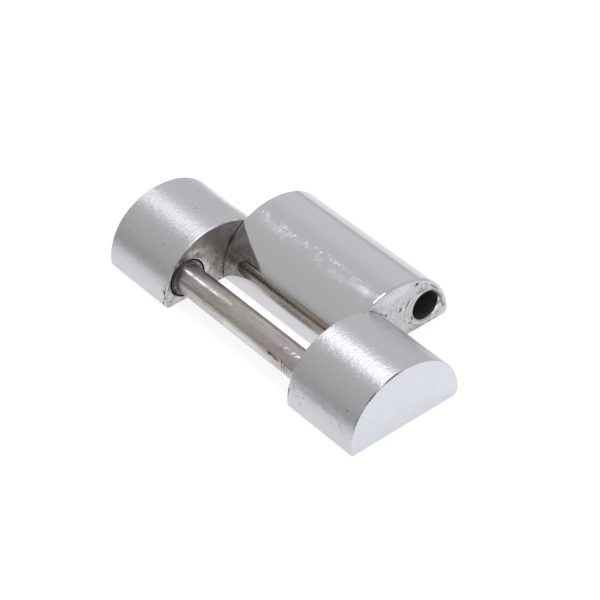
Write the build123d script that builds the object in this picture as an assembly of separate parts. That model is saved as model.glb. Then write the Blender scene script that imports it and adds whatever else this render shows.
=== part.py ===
from build123d import *

import math
import os

# One link of a steel watch bracelet, with the screw bar that joins it to the next link.
# Two outer blocks of D section stand on either side of a centre link of the same section,
# which is set back by half a step so that the links of a bracelet lie like bricks.
# X runs across the bracelet, Y along it and Z away from the wrist, in millimetres.
# The origin is on the underside, straight below the pivot pin.

# Whole link
WIDTH = 20.0                  # across the bracelet, from end face to end face
FORK_OPENING = 10.1           # between the inner walls of the outer blocks
SIDE_PLAY = 0.05              # between the centre link and each inner wall

# D section, the same for all three blocks but for the height
SECTION_DEPTH = 7.04          # along the bracelet, at the widest
OUTER_HEIGHT = 3.67           # outer blocks, flat side to crown
CENTER_HEIGHT = 3.60          # centre link, polished a little lower
CROWN_RADIUS = 3.93           # arc over the top
SHOULDER_RADIUS = 3.26        # arc from the crown down to the foot
FRONT_FOOT_RADIUS = 0.24      # lower corner towards the screw bar
REAR_FOOT_RADIUS = 0.40       # lower corner towards the other end
END_EDGE_BREAK = 0.06         # chamfer round the outer end faces
WALL_EDGE_BREAK = 0.07        # chamfer round the inner walls
CENTER_EDGE_BREAK = 0.07      # chamfer round both ends of the centre link

# Cross holes, all at one height
AXIS_HEIGHT = 1.32            # of every cross hole, above the flat side
SCREW_OFFSET = 1.98           # screw bar, in front of the middle of the outer blocks
PIVOT_OFFSET = 1.90           # pivot pin, behind the middle of the outer blocks
REAR_BORE_OFFSET = 1.98       # open bore, behind the middle of the centre link
RUNNING_CLEARANCE = 0.02      # radial, between a bar and the bore that turns on it

# Pivot pin, pressed into blind holes of the outer blocks
PIN_RADIUS = 0.83
PIN_GRIP = 3.40               # length held in each outer block
BLIND_HOLE_SPARE = 0.20       # left free behind the end of a bar
PIN_TIP_BREAK = 0.15

# Screw bar
SHANK_RADIUS = 0.83
SHANK_GRIP = 3.40             # length of shank inside the right block
HEAD_RADIUS = 1.07
HEAD_LENGTH = 0.80
HEAD_RECESS = 0.10            # head face below the left end face
HEAD_BORE_RADIUS = 1.11       # bore through the left block that passes head and thread
THREAD_RADIUS = 1.05
THREAD_ROOT_RADIUS = 0.91
THREAD_PITCH = 0.35
THREAD_TURNS = 8
COLLAR_RADIUS = 1.03          # plain stretch that fills the bore up to the inner wall
COLLAR_LEAD = 0.09            # cone from the thread's core up to the collar
COLLAR_RECESS = 0.03          # flat face of the collar below the inner wall
COLLAR_EDGE_BREAK = 0.04
TIP_BREAK = 0.18
SLOT_WIDTH = 0.45
SLOT_DEPTH = 0.55
HEAD_EDGE_BREAK = 0.08

# Mouths of the holes
HEAD_BORE_BREAK = 0.07
BLIND_HOLE_BREAK = 0.08
REAR_BORE_BREAK = 0.14

# Places worked out from the dimensions above
STEP = 2 * PIVOT_OFFSET                  # centre link behind the outer blocks
OUTER_MIDDLE_Y = -STEP / 2
CENTER_MIDDLE_Y = STEP / 2
PIVOT_Y = OUTER_MIDDLE_Y + PIVOT_OFFSET
SCREW_Y = OUTER_MIDDLE_Y - SCREW_OFFSET
REAR_BORE_Y = CENTER_MIDDLE_Y + REAR_BORE_OFFSET
END_X = WIDTH / 2
WALL_X = FORK_OPENING / 2
CENTER_END_X = WALL_X - SIDE_PLAY
BLOCK_LENGTH = END_X - WALL_X


def foot_arc_center(shoulder_y, shoulder_z, foot_radius):
    """Centre of the arc that touches both the shoulder arc from inside and the flat side."""
    reach = SHOULDER_RADIUS - foot_radius
    drop = foot_radius - shoulder_z
    return shoulder_y + math.sqrt(reach ** 2 - drop ** 2), foot_radius


def section_side(crown_join, shoulder_y, shoulder_z, foot_radius):
    """Shoulder arc and foot arc of one side, drawn on the positive side."""
    foot_y, foot_z = foot_arc_center(shoulder_y, shoulder_z, foot_radius)
    foot_join = math.degrees(math.atan2(foot_z - shoulder_z, foot_y - shoulder_y))
    shoulder = CenterArc((shoulder_y, shoulder_z), SHOULDER_RADIUS, foot_join, crown_join - foot_join)
    foot = CenterArc((foot_y, foot_z), foot_radius, -90, 90 + foot_join)
    return foot_y, [shoulder, foot]


def d_section(height):
    """D section with its flat side on the ground, as a face in Y and Z about Y = 0."""
    shoulder_y = SECTION_DEPTH / 2 - SHOULDER_RADIUS
    crown_z = height - CROWN_RADIUS
    rise = math.sqrt((CROWN_RADIUS - SHOULDER_RADIUS) ** 2 - shoulder_y ** 2)
    crown_join = math.degrees(math.atan2(rise, shoulder_y))
    crown = CenterArc((0, crown_z), CROWN_RADIUS, crown_join, 180 - 2 * crown_join)
    rear_y, rear = section_side(crown_join, shoulder_y, crown_z + rise, REAR_FOOT_RADIUS)
    front_y, front = section_side(crown_join, shoulder_y, crown_z + rise, FRONT_FOOT_RADIUS)
    front = [mirror(edge, about=Plane.YZ) for edge in front]
    flat_side = Line((-front_y, 0), (rear_y, 0))
    return Plane.YZ * make_face([crown, *rear, flat_side, *front])


def d_block(height, length, left_x, middle_y):
    """Plain block of D section from left_x, as long as asked, about middle_y."""
    return Pos(left_x, middle_y, 0) * extrude(d_section(height), length)


def break_end(block, end_x, size):
    """Chamfers the whole edge of the flat end face at end_x."""
    end_face = block.faces().filter_by(Axis.X).sort_by(lambda face: abs(face.center().X - end_x))[0]
    return chamfer(end_face.outer_wire().edges(), size)


def cross_rod(radius, left_x, right_x, y):
    """Round rod or hole cutter along X at the height of the cross holes."""
    rod = Cylinder(radius, right_x - left_x, rotation=(0, 90, 0))
    return Pos((left_x + right_x) / 2, y, AXIS_HEIGHT) * rod


def mouth_cone(radius, size, face_x, into_x, y):
    """Cutter that breaks the mouth of a hole in the face at face_x, widening away from into_x."""
    cone = Cone(radius, radius + size, size)
    turned = Rot(0, 90 if face_x > into_x else -90, 0) * cone
    middle_x = face_x - math.copysign(size / 2, face_x - into_x)
    return Pos(middle_x, y, AXIS_HEIGHT) * turned


def blind_hole(radius, wall_x, depth, y):
    """Hole with a broken mouth from an inner wall outwards."""
    side = math.copysign(1, wall_x)
    bottom_x = wall_x + side * depth
    hole = cross_rod(radius, min(wall_x, bottom_x), max(wall_x, bottom_x), y)
    return hole + mouth_cone(radius, BLIND_HOLE_BREAK, wall_x, bottom_x, y)


def through_bore(radius, mouth_break, left_x, right_x, y):
    """Bore with a broken mouth at both ends."""
    bore = cross_rod(radius, left_x, right_x, y)
    bore += mouth_cone(radius, mouth_break, left_x, right_x, y)
    bore += mouth_cone(radius, mouth_break, right_x, left_x, y)
    return bore


def outer_link_left():
    """Left outer block: bored through for the screw bar, blind hole for the pivot pin."""
    block = d_block(OUTER_HEIGHT, BLOCK_LENGTH, -END_X, OUTER_MIDDLE_Y)
    block = break_end(block, -END_X, END_EDGE_BREAK)
    block = break_end(block, -WALL_X, WALL_EDGE_BREAK)
    block -= through_bore(HEAD_BORE_RADIUS, HEAD_BORE_BREAK, -END_X, -WALL_X, SCREW_Y)
    block -= blind_hole(PIN_RADIUS, -WALL_X, PIN_GRIP + BLIND_HOLE_SPARE, PIVOT_Y)
    return block


def outer_link_right():
    """Right outer block: two blind holes, so that its end face is plain."""
    block = d_block(OUTER_HEIGHT, BLOCK_LENGTH, WALL_X, OUTER_MIDDLE_Y)
    block = break_end(block, END_X, END_EDGE_BREAK)
    block = break_end(block, WALL_X, WALL_EDGE_BREAK)
    block -= blind_hole(SHANK_RADIUS + RUNNING_CLEARANCE, WALL_X, SHANK_GRIP + BLIND_HOLE_SPARE, SCREW_Y)
    block -= blind_hole(PIN_RADIUS, WALL_X, PIN_GRIP + BLIND_HOLE_SPARE, PIVOT_Y)
    return block


def center_link():
    """Centre link: one bore turns on the pivot pin, the other takes the next link's screw bar."""
    block = d_block(CENTER_HEIGHT, 2 * CENTER_END_X, -CENTER_END_X, CENTER_MIDDLE_Y)
    for end_x in (-CENTER_END_X, CENTER_END_X):
        block = break_end(block, end_x, CENTER_EDGE_BREAK)
    turning_bore = PIN_RADIUS + RUNNING_CLEARANCE
    open_bore = SHANK_RADIUS + RUNNING_CLEARANCE
    block -= through_bore(turning_bore, BLIND_HOLE_BREAK, -CENTER_END_X, CENTER_END_X, PIVOT_Y)
    block -= through_bore(open_bore, REAR_BORE_BREAK, -CENTER_END_X, CENTER_END_X, REAR_BORE_Y)
    return block


def pivot_pin():
    """Plain pin with broken tips, held at both ends and turned on in the middle."""
    end_x = WALL_X + PIN_GRIP
    pin = cross_rod(PIN_RADIUS, -end_x, end_x, PIVOT_Y)
    return chamfer(pin.edges().filter_by(GeomType.CIRCLE), PIN_TIP_BREAK)


def screw_outline():
    """Half outline of the screw bar as radius over X, from the head face to the tip."""
    head_x = -END_X + HEAD_RECESS
    thread_x = head_x + HEAD_LENGTH
    points = [
        (head_x, 0),
        (head_x, HEAD_RADIUS - HEAD_EDGE_BREAK),
        (head_x + HEAD_EDGE_BREAK, HEAD_RADIUS),
        (thread_x, HEAD_RADIUS),
    ]
    for turn in range(THREAD_TURNS):
        root_x = thread_x + turn * THREAD_PITCH
        points.append((root_x, THREAD_ROOT_RADIUS))
        points.append((root_x + THREAD_PITCH / 2, THREAD_RADIUS))
    collar_x = thread_x + THREAD_TURNS * THREAD_PITCH
    face_x = -WALL_X - COLLAR_RECESS
    tip_x = WALL_X + SHANK_GRIP
    points += [
        (collar_x, THREAD_ROOT_RADIUS),
        (collar_x + COLLAR_LEAD, COLLAR_RADIUS),
        (face_x - COLLAR_EDGE_BREAK, COLLAR_RADIUS),
        (face_x, COLLAR_RADIUS - COLLAR_EDGE_BREAK),
        (face_x, SHANK_RADIUS),
        (tip_x - TIP_BREAK, SHANK_RADIUS),
        (tip_x, SHANK_RADIUS - TIP_BREAK),
        (tip_x, 0),
    ]
    return points


def screw_bar():
    """Screw bar: slotted head, thread, collar and smooth shank, turned as one piece."""
    half = make_face(Polyline(*screw_outline(), close=True))
    bar = revolve(half, axis=Axis.X)
    slot_x = -END_X + HEAD_RECESS + SLOT_DEPTH / 2
    slot = Pos(slot_x, 0, 0) * Box(SLOT_DEPTH, 2 * HEAD_BORE_RADIUS, SLOT_WIDTH)
    return Pos(0, SCREW_Y, AXIS_HEIGHT) * (bar - slot)


PARTS = {
    "outer_link_left": outer_link_left,
    "outer_link_right": outer_link_right,
    "center_link": center_link,
    "pivot_pin": pivot_pin,
    "screw_bar": screw_bar,
}

os.makedirs("parts", exist_ok=True)
for name, make in PARTS.items():
    export_step(make(), f"parts/{name}.step")
    print("wrote", name)
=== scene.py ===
import logging
import math
from collections.abc import Callable, Sequence
from dataclasses import dataclass, replace
from enum import Enum

import bmesh
import bpy
from mathutils import Matrix, Vector


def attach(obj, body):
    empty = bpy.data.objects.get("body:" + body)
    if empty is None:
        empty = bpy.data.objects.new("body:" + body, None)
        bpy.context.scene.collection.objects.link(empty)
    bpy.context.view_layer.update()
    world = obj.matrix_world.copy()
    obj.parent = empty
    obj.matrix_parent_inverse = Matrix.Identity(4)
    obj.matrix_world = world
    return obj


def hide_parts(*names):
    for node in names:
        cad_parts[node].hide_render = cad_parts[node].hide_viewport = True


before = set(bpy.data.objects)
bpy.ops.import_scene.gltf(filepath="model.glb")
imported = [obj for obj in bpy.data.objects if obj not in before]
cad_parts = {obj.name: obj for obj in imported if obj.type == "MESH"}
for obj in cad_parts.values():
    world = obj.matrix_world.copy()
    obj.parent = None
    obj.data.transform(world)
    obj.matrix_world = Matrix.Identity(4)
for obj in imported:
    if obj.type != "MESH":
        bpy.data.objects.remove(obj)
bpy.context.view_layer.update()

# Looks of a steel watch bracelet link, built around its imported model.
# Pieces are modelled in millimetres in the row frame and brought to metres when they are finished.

MM = 0.001
LOG = logging.getLogger("bracelet_link")

# Corners nearer than SAME_PLACE, in millimetres, are one, and a flat face lies within ON_FACE of its plane.
SAME_PLACE = 0.001
ON_FACE = 0.01
# A face lies flat across X where its normal's X is over FLAT, looks mostly along X where it is over FACING,
# and is slanted where it is over SLANTED.
FLAT, FACING, SLANTED = 0.99, 0.5, 0.12
# Most of a noise's values lie between these two.
NOISE_LOW, NOISE_HIGH = 0.3, 0.7
# Share of a full turn by which the gloss is turned, so that it spreads along X.
QUARTER_TURN = 0.25

Point = tuple[float, float, float]
Color = tuple[float, float, float, float]
Row = tuple[float, ...]
# Where a value starts and ends to count, and what comes out at each where that isn't 0 and 1.
Fade = tuple[float, ...]
Socket = bpy.types.NodeSocket
Value = Socket | float | tuple


class Body(Enum):
    """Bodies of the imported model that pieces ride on."""

    OUTER_FRAME = "outer_frame"
    CENTER = "center"
    SCREW = "screw"


class Slot(Enum):
    """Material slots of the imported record."""

    SATIN = "satin_steel"
    POLISHED = "polished_steel"
    BAR = "bar_steel"


class Pick(Enum):
    """What an edit-mode selection works on."""

    VERTS = "VERT"
    EDGES = "EDGE"


class Join(Enum):
    """Ways to combine two workpieces."""

    CUT = "DIFFERENCE"
    ADD = "UNION"
    KEEP_COMMON = "INTERSECT"


class Side(Enum):
    """Side of the link that an outer block stands on."""

    LEFT = -1
    RIGHT = 1


class BlockFace(Enum):
    """Surfaces of an outer block, each with a finish of its own."""

    SATIN = "satin"
    END = "end_face"
    WALL = "inner_wall"
    BORE = "bore"
    INNER_RIM = "inner_rim"
    MOUTH = "bore_mouth"
    OUTER_RIM = "outer_rim"


class CenterFace(Enum):
    """Surfaces of the centre link, each with a finish of its own."""

    POLISH = "mirror_polish"
    END = "rough_end_face"
    BORE = "center_bore"
    MOUTH = "bore_mouth"


class BarFace(Enum):
    """Surfaces of the screw bar, each with a finish of its own."""

    WORN = "bar_worn"
    TURNED = "bar_turned"
    HEAD = "bar_head"
    COLLAR = "collar_face"


class Workpiece:
    """One mesh that is modelled in millimetres with the edit-mode operators."""

    def __init__(self, name: str, start: Point) -> None:
        """Begins the piece as a single vertex.

        Args:
            name: Name of the object.
            start: Place of the vertex, in millimetres.
        """
        self.release()
        bpy.ops.mesh.primitive_plane_add(size=1.0, location=start)
        self.shape = bpy.context.object
        self.shape.name = self.shape.data.name = name
        bpy.ops.object.transform_apply(location=True, rotation=True, scale=True)
        bpy.ops.object.mode_set(mode="EDIT")
        bpy.ops.mesh.select_mode(type=Pick.VERTS.value)
        self.select_all()
        bpy.ops.mesh.merge(type="CENTER")

    @staticmethod
    def release() -> None:
        """Leaves edit mode and lets go of everything that is selected."""
        if bpy.context.object is not None and bpy.context.object.mode != "OBJECT":
            bpy.ops.object.mode_set(mode="OBJECT")
        bpy.ops.object.select_all(action="DESELECT")

    @staticmethod
    def select_all() -> None:
        """Selects all of the open piece."""
        bpy.ops.mesh.select_all(action="SELECT")

    def take(self) -> None:
        """Makes this piece the one that operators act on, in object mode."""
        self.release()
        bpy.context.view_layer.objects.active = self.shape
        self.shape.select_set(True)

    def edit(self) -> None:
        """Opens the piece in edit mode with nothing selected."""
        self.take()
        bpy.ops.object.mode_set(mode="EDIT")
        bpy.ops.mesh.select_all(action="DESELECT")

    @staticmethod
    def arc(center: tuple[float, float], degrees: float, steps: int) -> None:
        """Draws on from the selected vertex along an arc round a centre in Y and Z, from +Y towards +Z."""
        bpy.ops.mesh.spin(steps=steps, angle=math.radians(degrees), axis=(-1, 0, 0), center=(0, *center))

    @staticmethod
    def line(way: Point) -> None:
        """Draws a straight stretch from the selected vertices."""
        bpy.ops.mesh.extrude_region_move(TRANSFORM_OT_translate={"value": way})

    def fill(self) -> None:
        """Closes the drawn outline into one face."""
        self.select_all()
        bpy.ops.mesh.edge_face_add()

    def face_outwards(self) -> None:
        """Turns the normals of the whole closed shell outwards."""
        self.select_all()
        bpy.ops.mesh.normals_make_consistent(inside=False)

    def extrude(self, way: Point) -> None:
        """Pulls everything drawn so far into a solid.

        Args:
            way: Vector that it is pulled along.
        """
        self.select_all()
        self.line(way)
        self.face_outwards()

    def path(self, corners: Sequence[tuple[float, float]]) -> None:
        """Draws on from the first of several corners in X and Z through the others."""
        for here, there in zip(corners, corners[1:]):
            self.line((there[0] - here[0], 0.0, there[1] - here[1]))

    @classmethod
    def turned(cls, name: str, outline: Sequence[tuple[float, float]], y: float, z: float,
               steps: int) -> "Workpiece":
        """Turns a closed round piece from its half outline.

        Args:
            name: Name of the piece.
            outline: X and radius of each corner, in order along X.
            y: Place of the axis, which lies along X.
            z: Height of the axis.
            steps: Number of steps in the full turn.

        Returns:
            The piece, open in edit mode.
        """
        piece = cls(name, (outline[0][0], y, z))
        piece.path([(outline[0][0], 0.0), *outline, (outline[-1][0], 0.0)])
        piece.select_all()
        bpy.ops.mesh.spin(steps=steps, angle=2 * math.pi, axis=(1, 0, 0), center=(0, y, z))
        piece.select_all()
        bpy.ops.mesh.remove_doubles(threshold=SAME_PLACE / 2)
        piece.face_outwards()
        return piece

    def wind(self, pitch: float, turns: int, steps: int) -> None:
        """Winds the drawn closed outline along X round the world's X axis and closes both ends.

        Args:
            pitch: Way along X for each turn.
            turns: Number of turns.
            steps: Number of steps in each turn.
        """
        self.take()
        modifier = self.shape.modifiers.new("helix", "SCREW")
        modifier.axis = "X"
        modifier.angle = 2 * math.pi
        modifier.screw_offset = pitch
        modifier.iterations = turns
        modifier.steps = modifier.render_steps = steps
        modifier.use_smooth_shade = False
        bpy.ops.object.modifier_apply(modifier=modifier.name)
        self.edit()
        bpy.ops.mesh.select_mode(type=Pick.EDGES.value)
        bpy.ops.mesh.select_non_manifold()
        bpy.ops.mesh.fill_holes(sides=0)
        self.face_outwards()

    def move(self, way: Point) -> None:
        """Moves the whole piece.

        Args:
            way: How far it moves along each axis.
        """
        self.edit()
        self.select_all()
        bpy.ops.transform.translate(value=way)

    def round_edges(self, face_x: float, width: float, segments: int) -> None:
        """Rounds the edges of the flat face that lies across X at one place.

        Args:
            face_x: Place of the face along X.
            width: Distance of the round from the old edge, in millimetres.
            segments: Number of faces across the round.
        """
        bpy.ops.mesh.select_mode(type=Pick.EDGES.value)
        bpy.ops.mesh.select_all(action="DESELECT")
        mesh = bmesh.from_edit_mesh(self.shape.data)
        for edge in mesh.edges:
            if all(abs(end.co.x - face_x) < SAME_PLACE for end in edge.verts):
                edge.select_set(True)
        mesh.select_flush_mode()
        bmesh.update_edit_mesh(self.shape.data)
        bpy.ops.mesh.bevel(offset=width, offset_type="OFFSET", segments=segments, profile=0.5,
                           affect="EDGES", clamp_overlap=True)

    def combine(self, tool: "Workpiece", join: Join) -> None:
        """Combines this piece with another through a Boolean modifier that is applied.

        Args:
            tool: The other piece, which is removed.
            join: How they are combined.
        """
        self.take()
        modifier = self.shape.modifiers.new("join", "BOOLEAN")
        modifier.operation = join.value
        modifier.solver = "EXACT"
        modifier.object = tool.shape
        bpy.ops.object.modifier_apply(modifier=modifier.name)
        bpy.data.objects.remove(tool.shape)

    def finish(self, smooth_degrees: float) -> bpy.types.Object:
        """Brings the piece to metres and shades it.

        Args:
            smooth_degrees: Faces that meet at a smaller angle are shaded as one.

        Returns:
            The finished object, at the origin with its place in its mesh.
        """
        self.take()
        self.shape.scale = (MM, MM, MM)
        bpy.ops.object.transform_apply(location=True, rotation=True, scale=True)
        bpy.ops.object.shade_smooth_by_angle(angle=math.radians(smooth_degrees))
        modifier = self.shape.modifiers.new("true_normals", "WEIGHTED_NORMAL")
        modifier.keep_sharp = True
        modifier.weight = 100
        bpy.ops.object.modifier_apply(modifier=modifier.name)
        return self.shape


def fine(size: Point) -> Point:
    """Stretch of Object coordinates that makes noise of a size in millimetres along each axis."""
    return tuple(1 / (length * MM) for length in size)


def grey(value: float, blue: float = 0.0) -> Color:
    """Grey of one brightness, with a little more blue where that is asked for."""
    return (value, value, value * (1 + blue), 1.0)


def bare_steel(value: float) -> Color:
    """Clean steel of one brightness, a touch lilac."""
    return (value * 1.012, value * 0.996, value * 1.022, 1.0)


@dataclass(frozen=True)
class Spot:
    """One mark on a surface, in millimetres, from round to a long scratch."""

    start: Point
    end: Point
    width: float
    strength: float = 1.0


@dataclass(frozen=True)
class Grain:
    """Noise of a size in millimetres along each axis."""

    size: Point
    detail: float = 2.0
    roughness: float = 0.5
    shift: Point = (0.0, 0.0, 0.0)


class NodeSheet:
    """Node tree of a material or world, with short calls for the nodes that the finishes share."""

    def __init__(self, owner: bpy.types.Material | bpy.types.World) -> None:
        """Starts the owner's nodes from an empty tree.

        Args:
            owner: Material or world that the nodes belong to.
        """
        owner.use_nodes = True
        self.tree = owner.node_tree
        self.tree.nodes.clear()

    def add(self, kind: str, inputs: dict | None = None, **settings: object) -> bpy.types.Node:
        """Adds a node.

        Args:
            kind: Blender's name of the shader node type, after its prefix.
            inputs: Values or sockets by the name or number of the input.
            settings: Properties of the node.

        Returns:
            The new node.
        """
        node = self.tree.nodes.new("ShaderNode" + kind)
        for name, value in settings.items():
            setattr(node, name, value)
        for key, value in (inputs or {}).items():
            if isinstance(value, Socket):
                self.tree.links.new(value, node.inputs[key])
            else:
                node.inputs[key].default_value = value
        return node

    def first(self, kind: str, inputs: dict | None = None, **settings: object) -> Socket:
        """Adds a node and gives its first output."""
        return self.add(kind, inputs, **settings).outputs[0]

    def math(self, operation: str, *values: Value, clamp: bool = False) -> Socket:
        """One Math node on one or two numbers."""
        return self.first("Math", dict(enumerate(values)), operation=operation, use_clamp=clamp)

    def times(self, first: Value, second: Value) -> Socket:
        """Product of two numbers."""
        return self.math("MULTIPLY", first, second)

    def greater(self, first: Value, second: Value) -> Socket:
        """Greater of two numbers."""
        return self.math("MAXIMUM", first, second)

    def scaled(self, way: Value, factor: Value) -> Socket:
        """A vector or colour times a number."""
        return self.first("VectorMath", {0: way, "Scale": factor}, operation="SCALE")

    def length(self, way: Value) -> Socket:
        """Length of a vector."""
        return self.add("VectorMath", {0: way}, operation="LENGTH").outputs["Value"]

    def parts(self, way: Value) -> Sequence[Socket]:
        """X, Y and Z of a vector."""
        return self.add("SeparateXYZ", {0: way}).outputs

    def blend(self, share: Value, first: Value, second: Value) -> Socket:
        """Mixes two colours, which are the node's inputs 6 and 7, by a share of the second."""
        return self.add("Mix", {0: share, 6: first, 7: second}, data_type="RGBA").outputs[2]

    def between(self, share: Value, first: Value, second: Value) -> Socket:
        """Mixes two numbers, which are the node's inputs 2 and 3, by a share of the second."""
        return self.first("Mix", {0: share, 2: first, 3: second}, data_type="FLOAT")

    def fade(self, value: Value, start: Value, end: Value, low: Value = 0.0, high: Value = 1.0) -> Socket:
        """Goes smoothly from low to high as a value goes from start to end."""
        return self.first("MapRange", dict(enumerate((value, start, end, low, high))),
                          interpolation_type="SMOOTHSTEP")

    def place(self, scale: Point = (1.0, 1.0, 1.0), shift: Point = (0.0, 0.0, 0.0)) -> Socket:
        """Object coordinates, stretched along each axis and then shifted."""
        source = self.add("TexCoord").outputs["Object"]
        return self.first("Mapping", {"Vector": source, "Location": shift, "Scale": scale})

    def turned_place(self, axis: str, degrees: float, size: Point) -> Socket:
        """Object coordinates, turned about X, Y or Z and then stretched for noise of a size.

        Args:
            axis: Name of the axis.
            degrees: Turn about it.
            size: Size of the noise along each turned axis, in millimetres.

        Returns:
            The turned and stretched place.
        """
        source = self.add("TexCoord").outputs["Object"]
        place = self.first("VectorRotate", {"Vector": source, "Angle": math.radians(degrees)},
                           rotation_type=axis + "_AXIS")
        return self.first("Mapping", {"Vector": place, "Scale": fine(size)})

    def noise(self, place: Value, detail: float = 2.0, roughness: float = 0.5) -> Socket:
        """Noise texture's value at a place."""
        return self.add("TexNoise", {"Vector": place, "Scale": 1.0, "Detail": detail,
                                     "Roughness": roughness}).outputs["Fac"]

    def grain(self, grain: Grain) -> Socket:
        """Value of a grain over the piece."""
        return self.noise(self.place(fine(grain.size), grain.shift), grain.detail, grain.roughness)

    def bump(self, height: Value, depth: float, under: Socket | None = None) -> Socket:
        """Normal of a surface with a height on it.

        Args:
            height: Height as a share of the depth.
            depth: Full height in millimetres, less than 0 where it goes inwards.
            under: Normal that it is laid over.

        Returns:
            The new normal.
        """
        inputs = {"Strength": 1.0, "Distance": abs(depth) * MM, "Height": height}
        if under is not None:
            inputs["Normal"] = under
        return self.first("Bump", inputs, invert=depth < 0)

    def relief(self, *heights: tuple[Value, float]) -> Socket | None:
        """Normal of a surface with several heights on it.

        Args:
            heights: Each height and its depth, in the order in which they are laid on.

        Returns:
            The normal.
        """
        normal = None
        for height, depth in heights:
            normal = self.bump(height, depth, normal)
        return normal

    def shaken(self, size: float, amount: float) -> Socket:
        """Object coordinates that noise moves about, which makes the outline of a mark ragged.

        Args:
            size: Size of the noise in millimetres.
            amount: How far it moves the place, in millimetres.

        Returns:
            The moved place.
        """
        noise = self.add("TexNoise", {"Vector": self.place(), "Scale": 1 / (size * MM),
                                      "Detail": 2.0}).outputs["Color"]
        way = self.first("VectorMath", {0: noise, 1: (0.5, 0.5, 0.5)}, operation="SUBTRACT")
        short = self.scaled(way, 2 * amount * MM)
        return self.first("VectorMath", {0: self.place(), 1: short}, operation="ADD")

    def marked(self, place: Value, spots: Sequence[Spot], blur: float) -> Socket:
        """How far any of several marks covers a place.

        Args:
            place: Place in metres.
            spots: The marks.
            blur: Share of a mark's half width over which it fades out.

        Returns:
            Share from 0 to 1.
        """
        covered: Value = 0.0
        for spot in spots:
            start, end = Vector(spot.start) * MM, Vector(spot.end) * MM
            way = end - start
            side = spot.width / 2 * MM
            local = self.first("Mapping", {
                "Vector": place, "Location": (start + end) / 2,
                "Rotation": way.to_track_quat("X", "Z").to_euler(),
                "Scale": (way.length / 2 + side, side, side)}, vector_type="TEXTURE")
            here = self.fade(self.length(local), 1.0, 1.0 - blur, 0.0, spot.strength)
            covered = self.greater(covered, here)
        return covered

    def pits(self, spacing: float, radius: float, share: float) -> Socket:
        """Small round pits scattered over a surface.

        Args:
            spacing: Mean distance between places where a pit may be, in millimetres.
            radius: Radius of a pit in millimetres.
            share: Share of those places that have one.

        Returns:
            Depth of a pit from 0 to 1.
        """
        cells = self.add("TexVoronoi", {"Vector": self.place(), "Scale": 1 / (spacing * MM)})
        reach = self.fade(cells.outputs["Distance"], radius / spacing, radius / spacing / 2)
        chance = self.parts(cells.outputs["Color"])[0]
        return self.times(reach, self.math("LESS_THAN", chance, share))

    def hairs(self, degrees: float, spacing: float, width: float) -> Socket:
        """Thin long scratches at an angle to X, with gaps.

        Args:
            degrees: Their angle to X, seen from above.
            spacing: Distance between them in millimetres.
            width: How wide they are, as a share of the noise's range.

        Returns:
            Depth of a scratch from 0 to 1.
        """
        lines = self.noise(self.turned_place("Z", degrees, (7.0, spacing, spacing)), 0.0)
        ridge = self.fade(self.math("ABSOLUTE", self.math("SUBTRACT", lines, 0.5)), width, 0.0)
        gaps = self.grain(Grain((1.7, 1.0, 1.0), shift=(0.0, degrees, 0.0)))
        return self.times(ridge, self.fade(gaps, 0.50, 0.62))

    def ramp(self, value: Value, stops: Sequence[tuple[float, Color]]) -> Socket:
        """Colour that goes from stop to stop over a value.

        Args:
            value: Socket that drives the ramp.
            stops: Position and colour of each stop, in order.

        Returns:
            The colour.
        """
        node = self.add("ValToRGB", {0: value})
        elements = node.color_ramp.elements
        while len(elements) < len(stops):
            elements.new(1.0)
        for element, (position, color) in zip(elements, stops):
            element.position = position
            element.color = color
        return node.outputs[0]


@dataclass(frozen=True)
class Surface:
    """Colour, roughness and normal of a material as far as it is built."""

    color: Value
    roughness: Value
    normal: Socket


@dataclass(frozen=True)
class Layer:
    """Wear, or painted light or shade, of one kind that covers a finish in spots, with its sizes in
    millimetres.

    A row holds X, Y and Z of both ends of a spot, its width and, where it is below 1, its strength.
    Where x is given, the spots lie on a flat face there, and their rows leave X out.
    """

    rows: tuple[Row, ...]
    color: Color
    roughness: float
    blur: float
    relief: float = 0.0
    shake_size: float = 0.10
    shake: float = 0.07
    x: float | None = None

    @property
    def spots(self) -> list[Spot]:
        """Spots that the rows hold.

        Returns:
            One spot for each row.
        """
        if self.x is None:
            return [Spot(row[:3], row[3:6], *row[6:]) for row in self.rows]
        return [Spot((self.x, *row[:2]), (self.x, *row[2:4]), *row[4:]) for row in self.rows]

    def cover(self, sheet: NodeSheet) -> Socket:
        """How far the layer covers a place, from 0 to 1."""
        return sheet.marked(sheet.shaken(self.shake_size, self.shake), self.spots, self.blur)

    def lay(self, sheet: NodeSheet, surface: Surface) -> Surface:
        """Lays the layer over a surface.

        Args:
            sheet: Node tree of the material.
            surface: The surface so far.

        Returns:
            The surface with the layer on it.
        """
        share = self.cover(sheet)
        return Surface(sheet.blend(share, surface.color, self.color),
                       sheet.between(share, surface.roughness, self.roughness),
                       sheet.bump(share, self.relief, surface.normal) if self.relief else surface.normal)


@dataclass(frozen=True)
class Rubbed(Layer):
    """Broad places with soft edges that were rubbed bright, and in places a painted sheen."""

    blur: float = 0.8
    shake_size: float = 0.4
    shake: float = 0.5


@dataclass(frozen=True)
class Dirt(Layer):
    """Old dirt that has settled in grains, and in places painted shade."""

    color: Color = (0.09, 0.08, 0.065, 1.0)
    roughness: float = 0.75
    blur: float = 0.85
    relief: float = 0.006
    grains: Grain = Grain((0.11, 0.11, 0.11), 3.0, 0.6)
    extra_cover: float = 0.0

    def cover(self, sheet: NodeSheet) -> Socket:
        """How far the grains cover a place, from 0 to 1."""
        grains = sheet.fade(sheet.grain(self.grains), 0.47 - self.extra_cover, 0.60 - self.extra_cover)
        return sheet.times(super().cover(sheet), grains)


@dataclass(frozen=True)
class Marks(Layer):
    """Dark pits, cracks and scratches, and in places painted shade."""

    color: Color = (0.10, 0.09, 0.09, 1.0)
    roughness: float = 0.7
    blur: float = 0.6
    relief: float = -0.01


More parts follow.
